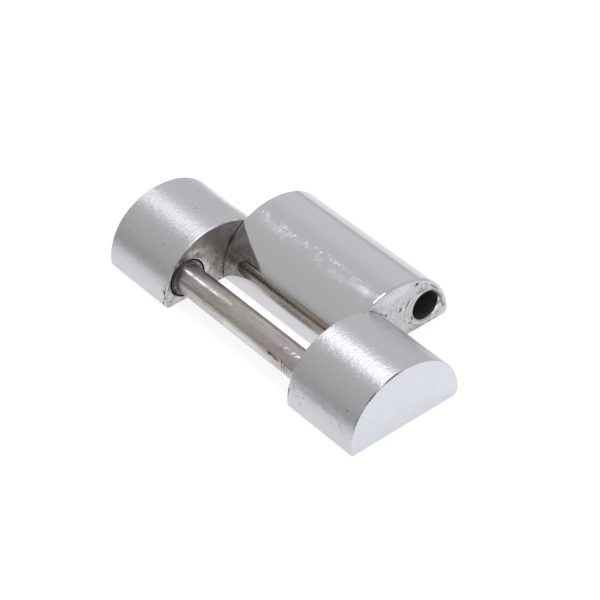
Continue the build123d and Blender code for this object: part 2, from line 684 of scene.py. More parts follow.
@dataclass(frozen=True)
class Glints(Layer):
    """Bright scratches and haze, and in places painted highlights."""

    color: Color = (0.9, 0.9, 0.9, 1.0)
    roughness: float = 0.62
    blur: float = 0.7


def on_wall(layers: Sequence[Layer], wall_x: float) -> tuple[Layer, ...]:
    """Layers whose rows fit either inner wall, on the wall at one place."""
    return tuple(replace(layer, x=wall_x) for layer in layers)


@dataclass(frozen=True)
class Finish:
    """What all steel finishes share."""

    color: Color
    roughness: float
    overlays: tuple[Layer, ...] = ()
    anisotropy: float = 0.0

    def material(self, name: str) -> bpy.types.Material:
        """Makes the finish as a material, which spreads light along X where it is anisotropic.

        Args:
            name: Name of the material.

        Returns:
            The new material.
        """
        made = bpy.data.materials.new(name)
        sheet = NodeSheet(made)
        surface = self.surface(sheet)
        for layer in self.overlays:
            surface = layer.lay(sheet, surface)
        inputs = {"Metallic": 1.0, "Base Color": surface.color, "Roughness": surface.roughness,
                  "Normal": surface.normal}
        if self.anisotropy:
            inputs |= {"Anisotropic": self.anisotropy, "Anisotropic Rotation": QUARTER_TURN,
                       "Tangent": sheet.first("Tangent", direction_type="RADIAL", axis="X")}
        steel = sheet.first("BsdfPrincipled", inputs)
        sheet.add("OutputMaterial", {"Surface": steel})
        return made

    def surface(self, sheet: NodeSheet) -> Surface:
        """Gives the surface without its overlays of wear and painted light, which each kind of finish makes
        for itself.
        """
        raise NotImplementedError

    def tint(self, factor: float) -> Color:
        """The finish's colour, lighter or darker by a factor."""
        return (self.color[0] * factor, self.color[1] * factor, self.color[2] * factor, 1.0)

    def toned(self, sheet: NodeSheet, color: Value, *coats: tuple[Socket, float | Color]) -> Value:
        """Lays tones of the finish, or other colours, over a colour one after the other.

        Args:
            sheet: Node tree of the material.
            color: Colour that they cover.
            coats: How far each covers it, and its tone or colour.

        Returns:
            The covered colour.
        """
        for share, tone in coats:
            color = sheet.blend(share, color, tone if isinstance(tone, tuple) else self.tint(tone))
        return color

    def uneven(self, sheet: NodeSheet, noise: Socket, low: float, high: float) -> Socket:
        """The finish's roughness with one change where a noise is low and another where it is high."""
        return sheet.fade(noise, NOISE_LOW, NOISE_HIGH, self.roughness + low, self.roughness + high)


@dataclass(frozen=True)
class SatinSteel(Finish):
    """Satin with its grain round the section, uneven strokes and a few tiny pits."""

    anisotropy: float = 0.8
    lines: Grain = Grain((0.03, 1.2, 1.2), 3.0, 0.6)
    line_depth: float = 0.0008
    strokes: Grain = Grain((0.13, 0.6, 0.6), 4.0, 0.65, (3.1, 0.7, 0.0))
    stroke_depth: float = 0.014
    flecks: Grain = Grain((0.15, 0.30, 0.30), 3.0, 0.6, (1.0, 4.0, 2.0))
    fleck_depth: float = 0.017
    clouds: Grain = Grain((1.1, 1.6, 1.6))
    pit_depth: float = 0.01
    base_tone: float = 0.95
    stroke_fade: Fade = (0.32, 0.68)
    stroke_tone: float = 1.05
    stroke_gloss: tuple[float, float] = (-0.05, 0.05)
    cloud_tone: float = 1.01
    pit_share: float = 0.6
    pit_tone: float = 0.4

    def surface(self, sheet: NodeSheet) -> Surface:
        """Builds the satin.

        Args:
            sheet: Node tree of the material.

        Returns:
            The surface without its wear and painted light.
        """
        strokes = sheet.grain(self.strokes)
        clouds = sheet.fade(sheet.grain(self.clouds), NOISE_LOW, NOISE_HIGH)
        pits = sheet.pits(spacing=0.9, radius=0.035, share=0.16)
        color = self.toned(sheet, self.tint(self.base_tone),
                           (sheet.fade(strokes, *self.stroke_fade), self.stroke_tone),
                           (clouds, self.cloud_tone), (sheet.times(pits, self.pit_share), self.pit_tone))
        normal = sheet.relief((sheet.grain(self.lines), self.line_depth), (strokes, self.stroke_depth),
                              (sheet.grain(self.flecks), self.fleck_depth), (pits, -self.pit_depth))
        return Surface(color, self.uneven(sheet, strokes, *self.stroke_gloss), normal)


@dataclass(frozen=True)
class PolishedSteel(Finish):
    """Mirror polish with a band of short scratches that sparkle, and a few hairlines."""

    anisotropy: float = 0.75
    haze: Grain = Grain((1.3, 0.8, 0.8), 3.0)
    ticks: Grain = Grain((0.14, 0.30, 0.30), 2.0, 0.55, (0.0, 5.3, 2.0))
    tick_roughness: float = 0.53
    tick_fade: Fade = (0.47, 0.80, 0.0, 0.80)
    tick_crowd_fade: Fade = (0.34, 0.58)
    tick_tone: float = 1.08
    crowds: Grain = Grain((0.8, 0.5, 0.5), shift=(4.0, 0.0, 1.0))
    dust: Grain = Grain((0.05, 0.09, 0.09), 2.0, 0.6, (2.0, 1.0, 5.0))
    dust_fade: Fade = (0.45, 0.75)
    dust_crowd_fade: Fade = (0.30, 0.60, 0.10, 0.40)
    mist_roughness: float = 0.36
    mist_fade: Fade = (0.38, 0.70, 0.0, 0.42)
    band_y: tuple[float, float] = (-0.25, 1.45)
    band_fade: float = 0.5
    hair_roughness: float = 0.3
    hair_share: float = 0.5
    hair_tone: float = 0.93
    hair_runs: tuple[tuple[float, float, float], ...] = ((24.0, 0.5, 0.006), (-37.0, 0.7, 0.005))
    haze_gloss: tuple[float, float] = (-0.015, 0.02)
    hair_depth: float = 0.0004
    waves: Grain = Grain((2.0, 1.1, 1.1), 1.0, 0.5, (0.5, 0.5, 0.5))
    wave_depth: float = 0.0012

    def surface(self, sheet: NodeSheet) -> Surface:
        """Builds the polish.

        Args:
            sheet: Node tree of the material.

        Returns:
            The surface without its wear and painted light.
        """
        crowds = sheet.grain(self.crowds)
        ticks = sheet.times(sheet.fade(sheet.grain(self.ticks), *self.tick_fade),
                            sheet.fade(crowds, *self.tick_crowd_fade))
        dust = sheet.times(sheet.fade(sheet.grain(self.dust), *self.dust_fade),
                           sheet.fade(crowds, *self.dust_crowd_fade))
        start, end = self.band_y
        across = sheet.parts(sheet.place(fine((1, 1, 1))))[1]
        band = sheet.times(sheet.fade(across, start, start + self.band_fade),
                           sheet.fade(across, end, end - self.band_fade))
        ticks = sheet.times(sheet.greater(ticks, dust), band)
        mist = sheet.times(sheet.fade(crowds, *self.mist_fade), band)
        hairs = sheet.greater(*(sheet.hairs(*run) for run in self.hair_runs))
        roughness = self.uneven(sheet, sheet.grain(self.haze), *self.haze_gloss)
        for share, rough in ((sheet.times(hairs, self.hair_share), self.hair_roughness),
                             (mist, self.mist_roughness), (ticks, self.tick_roughness)):
            roughness = sheet.between(share, roughness, rough)
        color = self.toned(sheet, self.color, (hairs, self.hair_tone), (ticks, self.tick_tone))
        return Surface(color, roughness, sheet.relief((sheet.grain(self.waves), self.wave_depth),
                                                      (hairs, -self.hair_depth)))


@dataclass(frozen=True)
class FacedSteel(Finish):
    """Flat outer end of a block, evenly brushed and a little scuffed."""

    brush: Grain = Grain((0.5, 0.05, 1.8), 3.0, 0.6)
    brush_depth: float = 0.0006
    brush_tone: float = 1.015
    clouds: Grain = Grain((0.8, 0.8, 0.8), 3.0)
    cloud_fade: Fade = (0.35, 0.65)
    cloud_tone: float = 0.99
    cloud_gloss: tuple[float, float] = (-0.03, 0.04)
    base_tone: float = 0.985

    def surface(self, sheet: NodeSheet) -> Surface:
        """Builds the faint brushing and scuffs.

        Args:
            sheet: Node tree of the material.

        Returns:
            The surface without its wear and painted light.
        """
        brush, clouds = sheet.grain(self.brush), sheet.grain(self.clouds)
        color = self.toned(sheet, self.tint(self.base_tone),
                           (sheet.fade(brush, NOISE_LOW, NOISE_HIGH), self.brush_tone),
                           (sheet.fade(clouds, *self.cloud_fade), self.cloud_tone))
        return Surface(color, self.uneven(sheet, clouds, *self.cloud_gloss),
                       sheet.relief((brush, self.brush_depth)))


@dataclass(frozen=True)
class RoughSteel(Finish):
    """Rough end of the centre link, with marks of the drill round its bore and small pits."""

    bore_y: float = 3.88
    bore_z: float = 1.32
    mottle: Grain = Grain((0.10, 0.10, 0.10), 4.0, 0.7)
    mottle_depth: float = 0.016
    mottle_fade: Fade = (0.36, 0.62)
    mottle_tone: float = 1.16
    mottle_gloss: tuple[float, float] = (0.08, -0.08)
    base_tone: float = 0.74
    stroke_slant: float = 52.0
    stroke_size: Point = (0.3, 0.30, 0.07)
    stroke_noise: tuple[float, float] = (3.0, 0.6)
    stroke_depth: float = 0.010
    stroke_fade: Fade = (0.38, 0.58, 0.8, 0.0)
    stroke_tone: float = 0.62
    clouds: Grain = Grain((0.6, 0.5, 0.5), 3.0, 0.5, (1.0, 2.0, 3.0))
    cloud_fade: Fade = (0.38, 0.62, 0.0, 0.5)
    cloud_tone: float = 0.98
    ring_depth: float = 0.004
    ring_share: float = 0.4
    ring_tone: float = 0.45
    ring_fade: Fade = (0.50, 0.60)
    ring_break: Fade = (0.34, 0.50)
    ring_drift: float = 0.5
    ring_reach: tuple[float, float] = (2.1, 1.3)
    rings_per_mm: float = 9.0
    pit_depth: float = 0.015
    pit_share: float = 0.75
    pit_tone: float = 0.3

    def surface(self, sheet: NodeSheet) -> Surface:
        """Builds the mottling, the slanted strokes, the rings and the pits.

        Args:
            sheet: Node tree of the material.

        Returns:
            The surface without its wear and painted light.
        """
        mottle = sheet.grain(self.mottle)
        slanted = sheet.turned_place("X", -self.stroke_slant, self.stroke_size)
        strokes = sheet.noise(slanted, *self.stroke_noise)
        clouds = sheet.grain(self.clouds)
        pits = sheet.pits(spacing=0.36, radius=0.045, share=0.30)
        rings = self.rings(sheet, mottle)
        color = self.toned(sheet, self.tint(self.base_tone),
                           (sheet.fade(mottle, *self.mottle_fade), self.mottle_tone),
                           (sheet.fade(strokes, *self.stroke_fade), self.stroke_tone),
                           (sheet.fade(clouds, *self.cloud_fade), self.cloud_tone),
                           (sheet.times(rings, self.ring_share), self.ring_tone),
                           (sheet.times(pits, self.pit_share), self.pit_tone))
        normal = sheet.relief((mottle, self.mottle_depth), (strokes, self.stroke_depth),
                              (rings, -self.ring_depth), (pits, -self.pit_depth))
        return Surface(color, self.uneven(sheet, mottle, *self.mottle_gloss), normal)

    def rings(self, sheet: NodeSheet, mottle: Socket) -> Socket:
        """Broken rings that a tool left round the bore.

        Args:
            sheet: Node tree of the material.
            mottle: Noise that breaks them up.

        Returns:
            How deep a ring is at a place.
        """
        _, y, z = sheet.parts(sheet.place(fine((1, 1, 1)), (0.0, -self.bore_y, -self.bore_z)))
        reach = sheet.math("SQRT", sheet.math("ADD", sheet.times(y, y), sheet.times(z, z)))
        flat = sheet.first("CombineXYZ", {0: sheet.times(reach, self.rings_per_mm),
                                          1: sheet.times(y, self.ring_drift)})
        ring = sheet.times(sheet.fade(sheet.noise(flat), *self.ring_fade),
                           sheet.fade(reach, *self.ring_reach))
        return sheet.times(ring, sheet.fade(mottle, *self.ring_break))


@dataclass(frozen=True)
class GrimySteel(Finish):
    """Inner wall or bore with a brown film and fine scuffs."""

    film: Grain = Grain((0.5, 0.55, 0.55), 4.0, 0.6)
    film_color: Color = (0.30, 0.27, 0.24, 1.0)
    film_depth: float = 0.003
    film_fade: Fade = (0.36, 0.66)
    film_gloss: tuple[float, float] = (-0.07, 0.10)
    scuffs: Grain = Grain((0.1, 0.07, 0.35), 3.0, 0.6, (2.0, 0.0, 0.0))
    scuff_depth: float = 0.002
    scuff_fade: Fade = (0.45, 0.75, 0.0, 0.5)
    scuff_tone: float = 1.25

    def surface(self, sheet: NodeSheet) -> Surface:
        """Builds the film and the scuffs.

        Args:
            sheet: Node tree of the material.

        Returns:
            The surface without its wear and painted light.
        """
        film, scuffs = sheet.grain(self.film), sheet.grain(self.scuffs)
        color = self.toned(sheet, self.color, (sheet.fade(film, *self.film_fade), self.film_color),
                           (sheet.fade(scuffs, *self.scuff_fade), self.scuff_tone))
        return Surface(color, self.uneven(sheet, film, *self.film_gloss),
                       sheet.relief((scuffs, self.scuff_depth), (film, self.film_depth)))


@dataclass(frozen=True)
class RimSteel(Finish):
    """Broken edge of a block, polished unevenly by wear."""

    rubs: Grain = Grain((0.2, 0.3, 0.3), 3.0, 0.6)
    rub_depth: float = 0.002
    rub_fade: Fade = (0.35, 0.70)
    rub_tone: float = 0.82
    rub_gloss: tuple[float, float] = (-0.05, 0.1)
    base_tone: float = 1.06

    def surface(self, sheet: NodeSheet) -> Surface:
        """Builds the uneven polish.

        Args:
            sheet: Node tree of the material.

        Returns:
            The surface without its wear and painted light.
        """
        rubs = sheet.grain(self.rubs)
        color = self.toned(sheet, self.tint(self.base_tone),
                           (sheet.fade(rubs, *self.rub_fade), self.rub_tone))
        return Surface(color, self.uneven(sheet, rubs, *self.rub_gloss),
                       sheet.relief((rubs, self.rub_depth)))


@dataclass(frozen=True)
class BarSteel(Finish):
    """Turned bar, worn and stained brown in streaks along X."""

    stain_color: Color = (0.395, 0.325, 0.31, 1.0)
    stain_share: float = 0.6
    beige_color: Color = (0.49, 0.475, 0.42, 1.0)
    beige_left: tuple[float, float] = (-4.0, -1.5)
    beige_right: tuple[float, float] = (2.2, 0.6)
    rear_color: Color = (0.44, 0.38, 0.32, 1.0)
    rear_y: tuple[float, float] = (-3.45, -3.15)
    rear_share: float = 0.75
    edge_shake: tuple[float, float] = (0.5, 0.25)
    streaks: Grain = Grain((1.5, 0.17, 0.17), 4.0, 0.62)
    streak_fade: Fade = (0.40, 0.64)
    streak_gloss: tuple[float, float] = (-0.05, 0.08)
    clouds: Grain = Grain((0.5, 0.27, 0.27), 3.0, 0.6, (7.0, 0.0, 0.0))
    cloud_fade: Fade = (0.48, 0.68)
    rubs: Grain = Grain((1.2, 0.05, 0.05), shift=(0.0, 4.0, 0.0))
    rub_depth: float = 0.0012
    rub_fade: Fade = (0.58, 0.72, 0.0, 0.7)
    rub_tone: float = 1.28
    turning: Grain = Grain((0.035, 1.0, 1.0))
    turning_depth: float = 0.0005

    def surface(self, sheet: NodeSheet) -> Surface:
        """Builds the streaks, the rubbed lines and the fine turning marks.

        Args:
            sheet: Node tree of the material.

        Returns:
            The surface without its wear and painted light.
        """
        streaks, clouds, rubs = (sheet.grain(grain) for grain in (self.streaks, self.clouds, self.rubs))
        x, y, _ = sheet.parts(sheet.shaken(*self.edge_shake))
        beige_left, beige_right, rear_y = (tuple(edge * MM for edge in edges)
                                           for edges in (self.beige_left, self.beige_right, self.rear_y))
        middle = sheet.times(sheet.fade(x, *beige_left), sheet.fade(x, *beige_right))
        color = self.toned(sheet, self.color, (middle, self.beige_color),
                           (sheet.fade(streaks, *self.streak_fade, 0.0, self.stain_share),
                            self.stain_color),
                           (sheet.fade(clouds, *self.cloud_fade, 0.0, self.stain_share),
                            self.stain_color),
                           (sheet.fade(rubs, *self.rub_fade), self.rub_tone),
                           (sheet.fade(y, *rear_y, 0.0, self.rear_share), self.rear_color))
        normal = sheet.relief((sheet.grain(self.turning), self.turning_depth), (rubs, self.rub_depth))
        return Surface(color, self.uneven(sheet, streaks, *self.streak_gloss), normal)


@dataclass(frozen=True)
class Section:
    """D section of a block, in millimetres, with its flat side on the ground."""

    height: float
    depth: float = 7.04
    crown_radius: float = 3.93
    crown_steps: int = 24
    shoulder_radius: float = 3.26
    shoulder_steps: int = 34
    front_foot_radius: float = 0.24
    rear_foot_radius: float = 0.40
    foot_steps: int = 14

    @property
    def shoulder_y(self) -> float:
        """Distance of a shoulder arc's centre from the middle."""
        return self.depth / 2 - self.shoulder_radius

    @property
    def crown_z(self) -> float:
        """Height of the crown arc's centre."""
        return self.height - self.crown_radius

    @property
    def shoulder_z(self) -> float:
        """Height of the shoulder arcs' centres."""
        reach = self.crown_radius - self.shoulder_radius
        return self.crown_z + math.sqrt(reach ** 2 - self.shoulder_y ** 2)

    @property
    def crown_join(self) -> float:
        """Angle at which the rear shoulder runs into the crown, in degrees."""
        return math.degrees(math.atan2(self.shoulder_z - self.crown_z, self.shoulder_y))

    def foot(self, radius: float) -> tuple[float, float]:
        """Foot arc that runs out of the shoulder and into the flat side.

        Args:
            radius: Radius of the foot arc.

        Returns:
            Distance of its centre from the middle, and the angle where it meets the shoulder.
        """
        drop = radius - self.shoulder_z
        reach = self.shoulder_radius - radius
        out = math.sqrt(reach ** 2 - drop ** 2)
        return self.shoulder_y + out, math.degrees(math.atan2(drop, out))

    def draw(self, name: str, left_x: float, middle_y: float) -> Workpiece:
        """Draws the outline as one face.

        Args:
            name: Name of the piece that starts with it.
            left_x: Place of the outline along X.
            middle_y: Place of its middle along Y.

        Returns:
            The piece, open in edit mode.
        """
        rear_y, rear_join = self.foot(self.rear_foot_radius)
        front_y, front_join = self.foot(self.front_foot_radius)
        piece = Workpiece(name, (left_x, middle_y + rear_y, 0.0))
        for y, z, degrees, steps in (
                (rear_y, self.rear_foot_radius, 90 + rear_join, self.foot_steps),
                (self.shoulder_y, self.shoulder_z, self.crown_join - rear_join, self.shoulder_steps),
                (0.0, self.crown_z, 180 - 2 * self.crown_join, self.crown_steps),
                (-self.shoulder_y, self.shoulder_z, self.crown_join - front_join, self.shoulder_steps),
                (-front_y, self.front_foot_radius, 90 + front_join, self.foot_steps)):
            piece.arc((middle_y + y, z), degrees, steps)
        piece.fill()
        return piece


@dataclass(frozen=True)
class Hole:
    """Round hole along X that breaks out of one face or both, in millimetres."""

    radius: float
    y: float
    z: float
    left_x: float
    right_x: float
    left_mouth: float
    right_mouth: float
    mouth_depth: float = 0.07
    mouth_steps: int = 5
    beyond: float = 0.2
    steps: int = 72

    def mouth(self, width: float) -> list[tuple[float, float]]:
        """Outline of a rounded mouth, from outside the face into the hole.

        Args:
            width: How much wider the hole is at the face.

        Returns:
            Way out of the face and radius of each corner.
        """
        outline = [(self.beyond, self.radius + width)]
        for step in range(self.mouth_steps + 1):
            turn = math.radians(90 * step / self.mouth_steps)
            outline.append(((math.cos(turn) - 1) * self.mouth_depth,
                            self.radius + (1 - math.sin(turn)) * width))
        return outline

    def tool(self) -> Workpiece:
        """Makes the cutter: a turned shape that also rounds the edge of each open mouth.

        Returns:
            The cutter.
        """
        left = [(self.left_x - out, radius) for out, radius in self.mouth(self.left_mouth)]
        right = [(self.right_x + out, radius) for out, radius in reversed(self.mouth(self.right_mouth))]
        outline = [*(left if self.left_mouth else [(self.left_x, self.radius)]),
                   *(right if self.right_mouth else [(self.right_x, self.radius)])]
        return Workpiece.turned("hole", outline, self.y, self.z, self.steps)


@dataclass(frozen=True)
class Block:
    """Length of a D section between two faces across X, in millimetres."""

    section: Section
    middle_y: float
    left_x: float
    right_x: float
    left_round: float
    right_round: float
    rim_segments: int
    smooth_degrees: float = 35

    def build(self, name: str, holes: Sequence[Hole]) -> bpy.types.Object:
        """Models the block.

        Args:
            name: Name of the piece.
            holes: Holes to bore through or into it.

        Returns:
            The finished block.
        """
        piece = self.section.draw(name, self.left_x, self.middle_y)
        piece.extrude((self.right_x - self.left_x, 0.0, 0.0))
        piece.round_edges(self.left_x, self.left_round, self.rim_segments)
        piece.round_edges(self.right_x, self.right_round, self.rim_segments)
        piece.face_outwards()
        for hole in holes:
            piece.combine(hole.tool(), Join.CUT)
        return piece.finish(self.smooth_degrees)


@dataclass
class OuterFrame:
    """Both outer blocks and the pivot pin that is pressed into them, in millimetres."""

    width: float = 20.0
    fork_opening: float = 10.1
    section: Section = Section(height=3.67)
    middle_y: float = -1.90
    end_round: float = 0.06
    wall_round: float = 0.075
    rim_segments: int = 3
    axis_z: float = 1.32
    screw_y: float = -3.88
    pivot_y: float = 0.0
    head_bore_radius: float = 1.11
    head_bore_mouth: float = 0.07
    tip_hole_radius: float = 0.85
    pin_radius: float = 0.83
    pin_grip: float = 3.40
    pin_tip_break: float = 0.15
    pin_steps: int = 72
    pin_smooth_degrees: float = 30
    hole_mouth: float = 0.08
    hole_spare: float = 0.20
    near_bore: float = 0.1
    near_end: float = 0.1
    left_satin_wear_and_sheen: tuple[Layer, ...] = (
        # Painted sheen: the rubbed band lightens the rear top of the left block, standing in for a brighter
        # reflection there.
        Rubbed((
            (-9.60, 0.62, 2.71, -5.40, 0.62, 2.71, 1.30),
        ), (0.90, 0.895, 0.915, 1.0), 0.35),
        Dirt((
            (-5.2, -5.40, 0.75, -5.3, -5.28, 1.65, 0.30),
        )),
        Marks((
            (-7.08, -1.73, 3.66, -7.0, -1.60, 3.66, 0.18, 0.25),
            (-9.17, -4.66, 2.45, -9.2, -4.60, 2.50, 0.14, 0.30),
            (-6.55, -4.24, 2.86, -6.5, -4.20, 2.90, 0.13, 0.30),
            (-5.12, -5.22, 1.46, -5.14, -5.30, 1.22, 0.09, 0.7),
            (-5.14, -5.31, 1.18, -5.18, -5.38, 0.80, 0.12, 0.95),
            (-5.18, -5.39, 0.76, -5.22, -5.42, 0.46, 0.11, 0.9),
            (-5.28, -5.42, 0.36, -5.26, -5.42, 0.22, 0.19),
            (-5.41, -5.33, 1.10, -5.42, -5.34, 1.00, 0.08, 0.5),
        )),
        Glints((
            (-6.98, -5.02, 1.93, -6.96, -5.00, 1.95, 0.15, 0.9),
            (-6.65, -4.99, 1.97, -6.62, -4.98, 1.99, 0.13, 0.7),
            (-6.03, -4.92, 2.09, -6.01, -4.90, 2.12, 0.17, 0.9),
        )),
    )
    right_satin_wear_and_shade: tuple[Layer, ...] = (
        Dirt((
            (5.12, -5.20, 1.5, 5.14, -5.42, 0.5, 0.14, 0.9),
        )),
        Marks((
            (6.28, -5.27, 1.36, 6.28, -5.27, 1.31, 0.14, 0.45),
            (6.03, -5.38, 0.88, 6.10, -5.38, 0.84, 0.24, 0.22),
            (9.15, -4.85, 2.21, 9.17, -4.85, 2.20, 0.16, 0.55),
            (8.37, -5.32, 1.16, 8.40, -5.32, 1.13, 0.12, 0.35),
            (8.55, -5.01, 1.94, 8.58, -5.00, 1.95, 0.14, 0.20),
            (9.44, -5.29, 1.27, 9.47, -5.29, 1.25, 0.12, 0.30),
            (8.80, -4.44, 2.69, 8.84, -4.44, 2.69, 0.12, 0.20),
            (9.70, -2.60, 3.61, 9.73, -2.60, 3.61, 0.08, 0.5),
            # Painted shade: this row darkens the rear top of the right block and the next row a band low on
            # its front, standing in for darker reflections there.
            (4.90, 0.48, 2.84, 9.90, 0.52, 2.80, 0.75, 0.30),
            (5.30, -5.13, 1.66, 9.80, -5.13, 1.66, 0.44, 0.13),
            (5.10, -5.22, 1.46, 5.10, -5.40, 0.70, 0.16, 0.8), (5.11, -5.29, 1.22, 5.11, -5.33, 1.08, 0.24),
            (5.30, -5.16, 1.62, 5.60, -5.28, 1.30, 0.26, 0.16),
            (5.60, -5.34, 1.06, 5.95, -5.30, 1.22, 0.22, 0.14),
            (8.90, -5.22, 1.46, 9.30, -5.30, 1.22, 0.28, 0.16),
        ), (0.12, 0.12, 0.125, 1.0)),
    )
    wall_wear_and_seam_shade: tuple[Layer, ...] = (
        Rubbed((
            (-3.70, 2.95, -2.55, 2.45, 0.65, 0.9), (-2.75, 2.00, -2.38, 0.95, 0.60),
            (-5.30, 0.40, -3.00, 0.20, 0.70), (-1.30, 0.50, -1.05, 0.45, 0.50, 0.7),
            (-5.22, 1.15, -5.10, 0.50, 0.55, 0.9),
        ), (0.66, 0.635, 0.65, 1.0), 0.32),
        Dirt((
            (-1.93, 2.30, -2.02, 0.60, 0.40, 0.9), (-1.52, 1.30, -1.70, 0.15, 0.62),
            (-1.10, 2.95, -0.30, 3.20, 0.45, 0.8), (-5.42, 1.00, -5.45, 0.50, 0.20, 0.8),
        )),
        Marks((
            (-3.25, 2.53, -3.02, 2.60, 0.15, 0.7), (-1.90, 1.97, -1.91, 1.87, 0.13, 0.6),
            (-1.98, 1.73, -2.00, 1.66, 0.11, 0.6), (-2.15, 1.35, -2.15, 1.25, 0.13, 0.7),
            (-2.06, 0.87, -2.05, 0.81, 0.11, 0.6), (-1.62, 0.50, -1.70, 0.35, 0.12, 0.8),
            (-1.92, 0.25, -1.86, 0.15, 0.14, 0.8), (-4.42, 2.68, -4.02, 2.50, 0.36, 0.55),
            # The second spot on this row is painted shade at the seam where the centre link meets the wall.
            (-4.62, 2.25, -4.95, 1.75, 0.26, 0.55), (-0.84, 2.62, -1.18, 1.92, 0.28, 0.75),
            (-4.92, 2.02, -4.38, 2.70, 0.09, 0.85), (-4.38, 2.70, -3.60, 3.20, 0.09, 0.85),
            (-3.60, 3.20, -2.60, 3.54, 0.08, 0.6), (-1.30, 3.52, -0.45, 3.22, 0.08, 0.6),
            # Painted shade down the seam where the centre link meets the wall.
            (-0.66, 2.85, -0.56, 0.20, 0.40, 0.65),
        )),
    )
    rim_wear: tuple[Layer, ...] = (
        Rubbed((
            (-4.00, 3.00, -2.95, 3.50, 0.45, 0.9), (-3.20, 3.43, -2.60, 3.55, 0.35),
            (-2.80, 3.55, -0.90, 3.45, 0.45, 0.7), (-1.10, 3.50, 0.30, 2.85, 0.45, 0.8),
            (-5.05, 1.55, -5.40, 0.90, 0.20, 0.5),
        ), (0.92, 0.88, 0.80, 1.0), 0.32),
        Dirt((
            (-4.30, 2.80, -4.90, 2.10, 0.30, 0.9), (-5.35, 1.10, -5.42, 0.40, 0.30, 0.8),
        )),
    )
    right_rim_marks: tuple[Layer, ...] = (
        Marks((
            (-5.26, 1.34, -5.36, 0.98, 0.18, 0.9), (-5.37, 0.93, -5.41, 0.62, 0.12, 0.6),
        )),
    )
    left_mouth_dark_arcs: tuple[Layer, ...] = (
        # Dark arcs over the left half of the screw bore's mouth.
        Marks((
            (-4.05, 2.46, -4.50, 2.28, 0.26, 0.8), (-4.50, 2.28, -4.90, 1.88, 0.26, 0.9),
            (-4.90, 1.88, -5.02, 1.10, 0.26, 0.9), (-5.02, 1.10, -4.70, 0.50, 0.26, 0.9),
        ), x=-5.04),
    )
    left_end_rim_tarnish: tuple[Layer, ...] = (
        Marks((
            (-4.69, 2.42, -4.10, 2.97, 0.30, 0.9), (-4.10, 2.97, -2.66, 3.58, 0.26, 0.8),
        ), (0.42, 0.36, 0.27, 1.0), x=-10.0),
    )
    right_end_rim_painted_dark_reflection: tuple[Layer, ...] = (
        # Painted reflection: the right end's top rim is darkened where it would mirror dark surroundings to
        # the upper right.
        Marks((
            (-5.21, 1.74, -4.67, 2.66, 0.24), (-4.67, 2.66, -3.43, 3.45, 0.24),
            (-3.43, 3.45, -1.83, 3.67, 0.24, 0.85), (-1.83, 3.67, 0.24, 3.03, 0.24, 0.5),
        ), (0.13, 0.13, 0.15, 1.0), x=10.0),
    )

    @property
    def end_x(self) -> float:
        """Distance of the end faces from the middle."""
        return self.width / 2

    @property
    def wall_x(self) -> float:
        """Distance of the inner walls from the middle."""
        return self.fork_opening / 2

    def blind_hole(self, side: Side, radius: float, y: float) -> Hole:
        """Hole from an inner wall outwards.

        Args:
            side: Which block it is in.
            radius: Radius of the hole.
            y: Place of its axis.

        Returns:
            The hole.
        """
        bottom = self.wall_x + self.pin_grip + self.hole_spare
        if side is Side.LEFT:
            return Hole(radius, y, self.axis_z, -bottom, -self.wall_x, 0.0, self.hole_mouth)
        return Hole(radius, y, self.axis_z, self.wall_x, bottom, self.hole_mouth, 0.0)

    def build(self) -> list[bpy.types.Object]:
        """Models, dresses and mounts the three pieces.

        Returns:
            The finished pieces.
        """
        screw_way = Hole(self.head_bore_radius, self.screw_y, self.axis_z, -self.end_x, -self.wall_x,
                         self.head_bore_mouth, self.head_bore_mouth)
        left = Block(self.section, self.middle_y, -self.end_x, -self.wall_x, self.end_round,
                     self.wall_round, self.rim_segments).build("outer_left", [
                         screw_way, self.blind_hole(Side.LEFT, self.pin_radius, self.pivot_y)])
        right = Block(self.section, self.middle_y, self.wall_x, self.end_x, self.wall_round,
                      self.end_round, self.rim_segments).build("outer_right", [
                          self.blind_hole(Side.RIGHT, self.tip_hole_radius, self.screw_y),
                          self.blind_hole(Side.RIGHT, self.pin_radius, self.pivot_y)])
        pin = self.pin()
        for piece, node, slot in ((left, "outer_link_left", Slot.SATIN),
                                  (right, "outer_link_right", Slot.SATIN),
                                  (pin, "pivot_pin", Slot.BAR)):
            mount(piece, Body.OUTER_FRAME, node)
        self.dress(left, Side.LEFT)
        self.dress(right, Side.RIGHT)
        pin.data.materials.append(BarSteel(grey(0.5), 0.3, rear_share=0.0).material("pin_steel"))
        return [left, right, pin]

    def pin(self) -> bpy.types.Object:
        """Turns the pivot pin with broken tips.

        Returns:
            The finished pin.
        """
        end = self.wall_x + self.pin_grip
        tip = self.pin_radius - self.pin_tip_break
        outline = [(-end, tip), (-end + self.pin_tip_break, self.pin_radius),
                   (end - self.pin_tip_break, self.pin_radius), (end, tip)]
        bar = Workpiece.turned("pivot_pin_bar", outline, self.pivot_y, self.axis_z, self.pin_steps)
        return bar.finish(self.pin_smooth_degrees)

    def dress(self, block: bpy.types.Object, side: Side) -> None:
        """Gives each surface of a block its finish.

        Args:
            block: The block.
            side: Which side it stands on.
        """
        end_x = side.value * self.end_x
        wall_x = side.value * self.wall_x

        def which(place: Vector, normal: Vector) -> BlockFace:
            """Surface that a face belongs to.

            Args:
                place: Centre of the face, in millimetres.
                normal: Normal of the face.

            Returns:
                The surface.
            """
            flat = abs(normal.x) > FLAT
            slanted = SLANTED < abs(normal.x) < FLAT
            if flat and abs(place.x - end_x) < ON_FACE:
                return BlockFace.END
            if flat and abs(place.x - wall_x) < ON_FACE:
                return BlockFace.WALL
            for y, radius in ((self.screw_y, self.head_bore_radius), (self.pivot_y, self.pin_radius)):
                if math.hypot(place.y - y, place.z - self.axis_z) < radius + self.near_bore:
                    return BlockFace.MOUTH if slanted else BlockFace.BORE
            if not slanted:
                return BlockFace.SATIN
            return BlockFace.OUTER_RIM if abs(place.x - end_x) < self.near_end else BlockFace.INNER_RIM

        paint(block, self.finishes(side), which, "_" + side.name.lower())

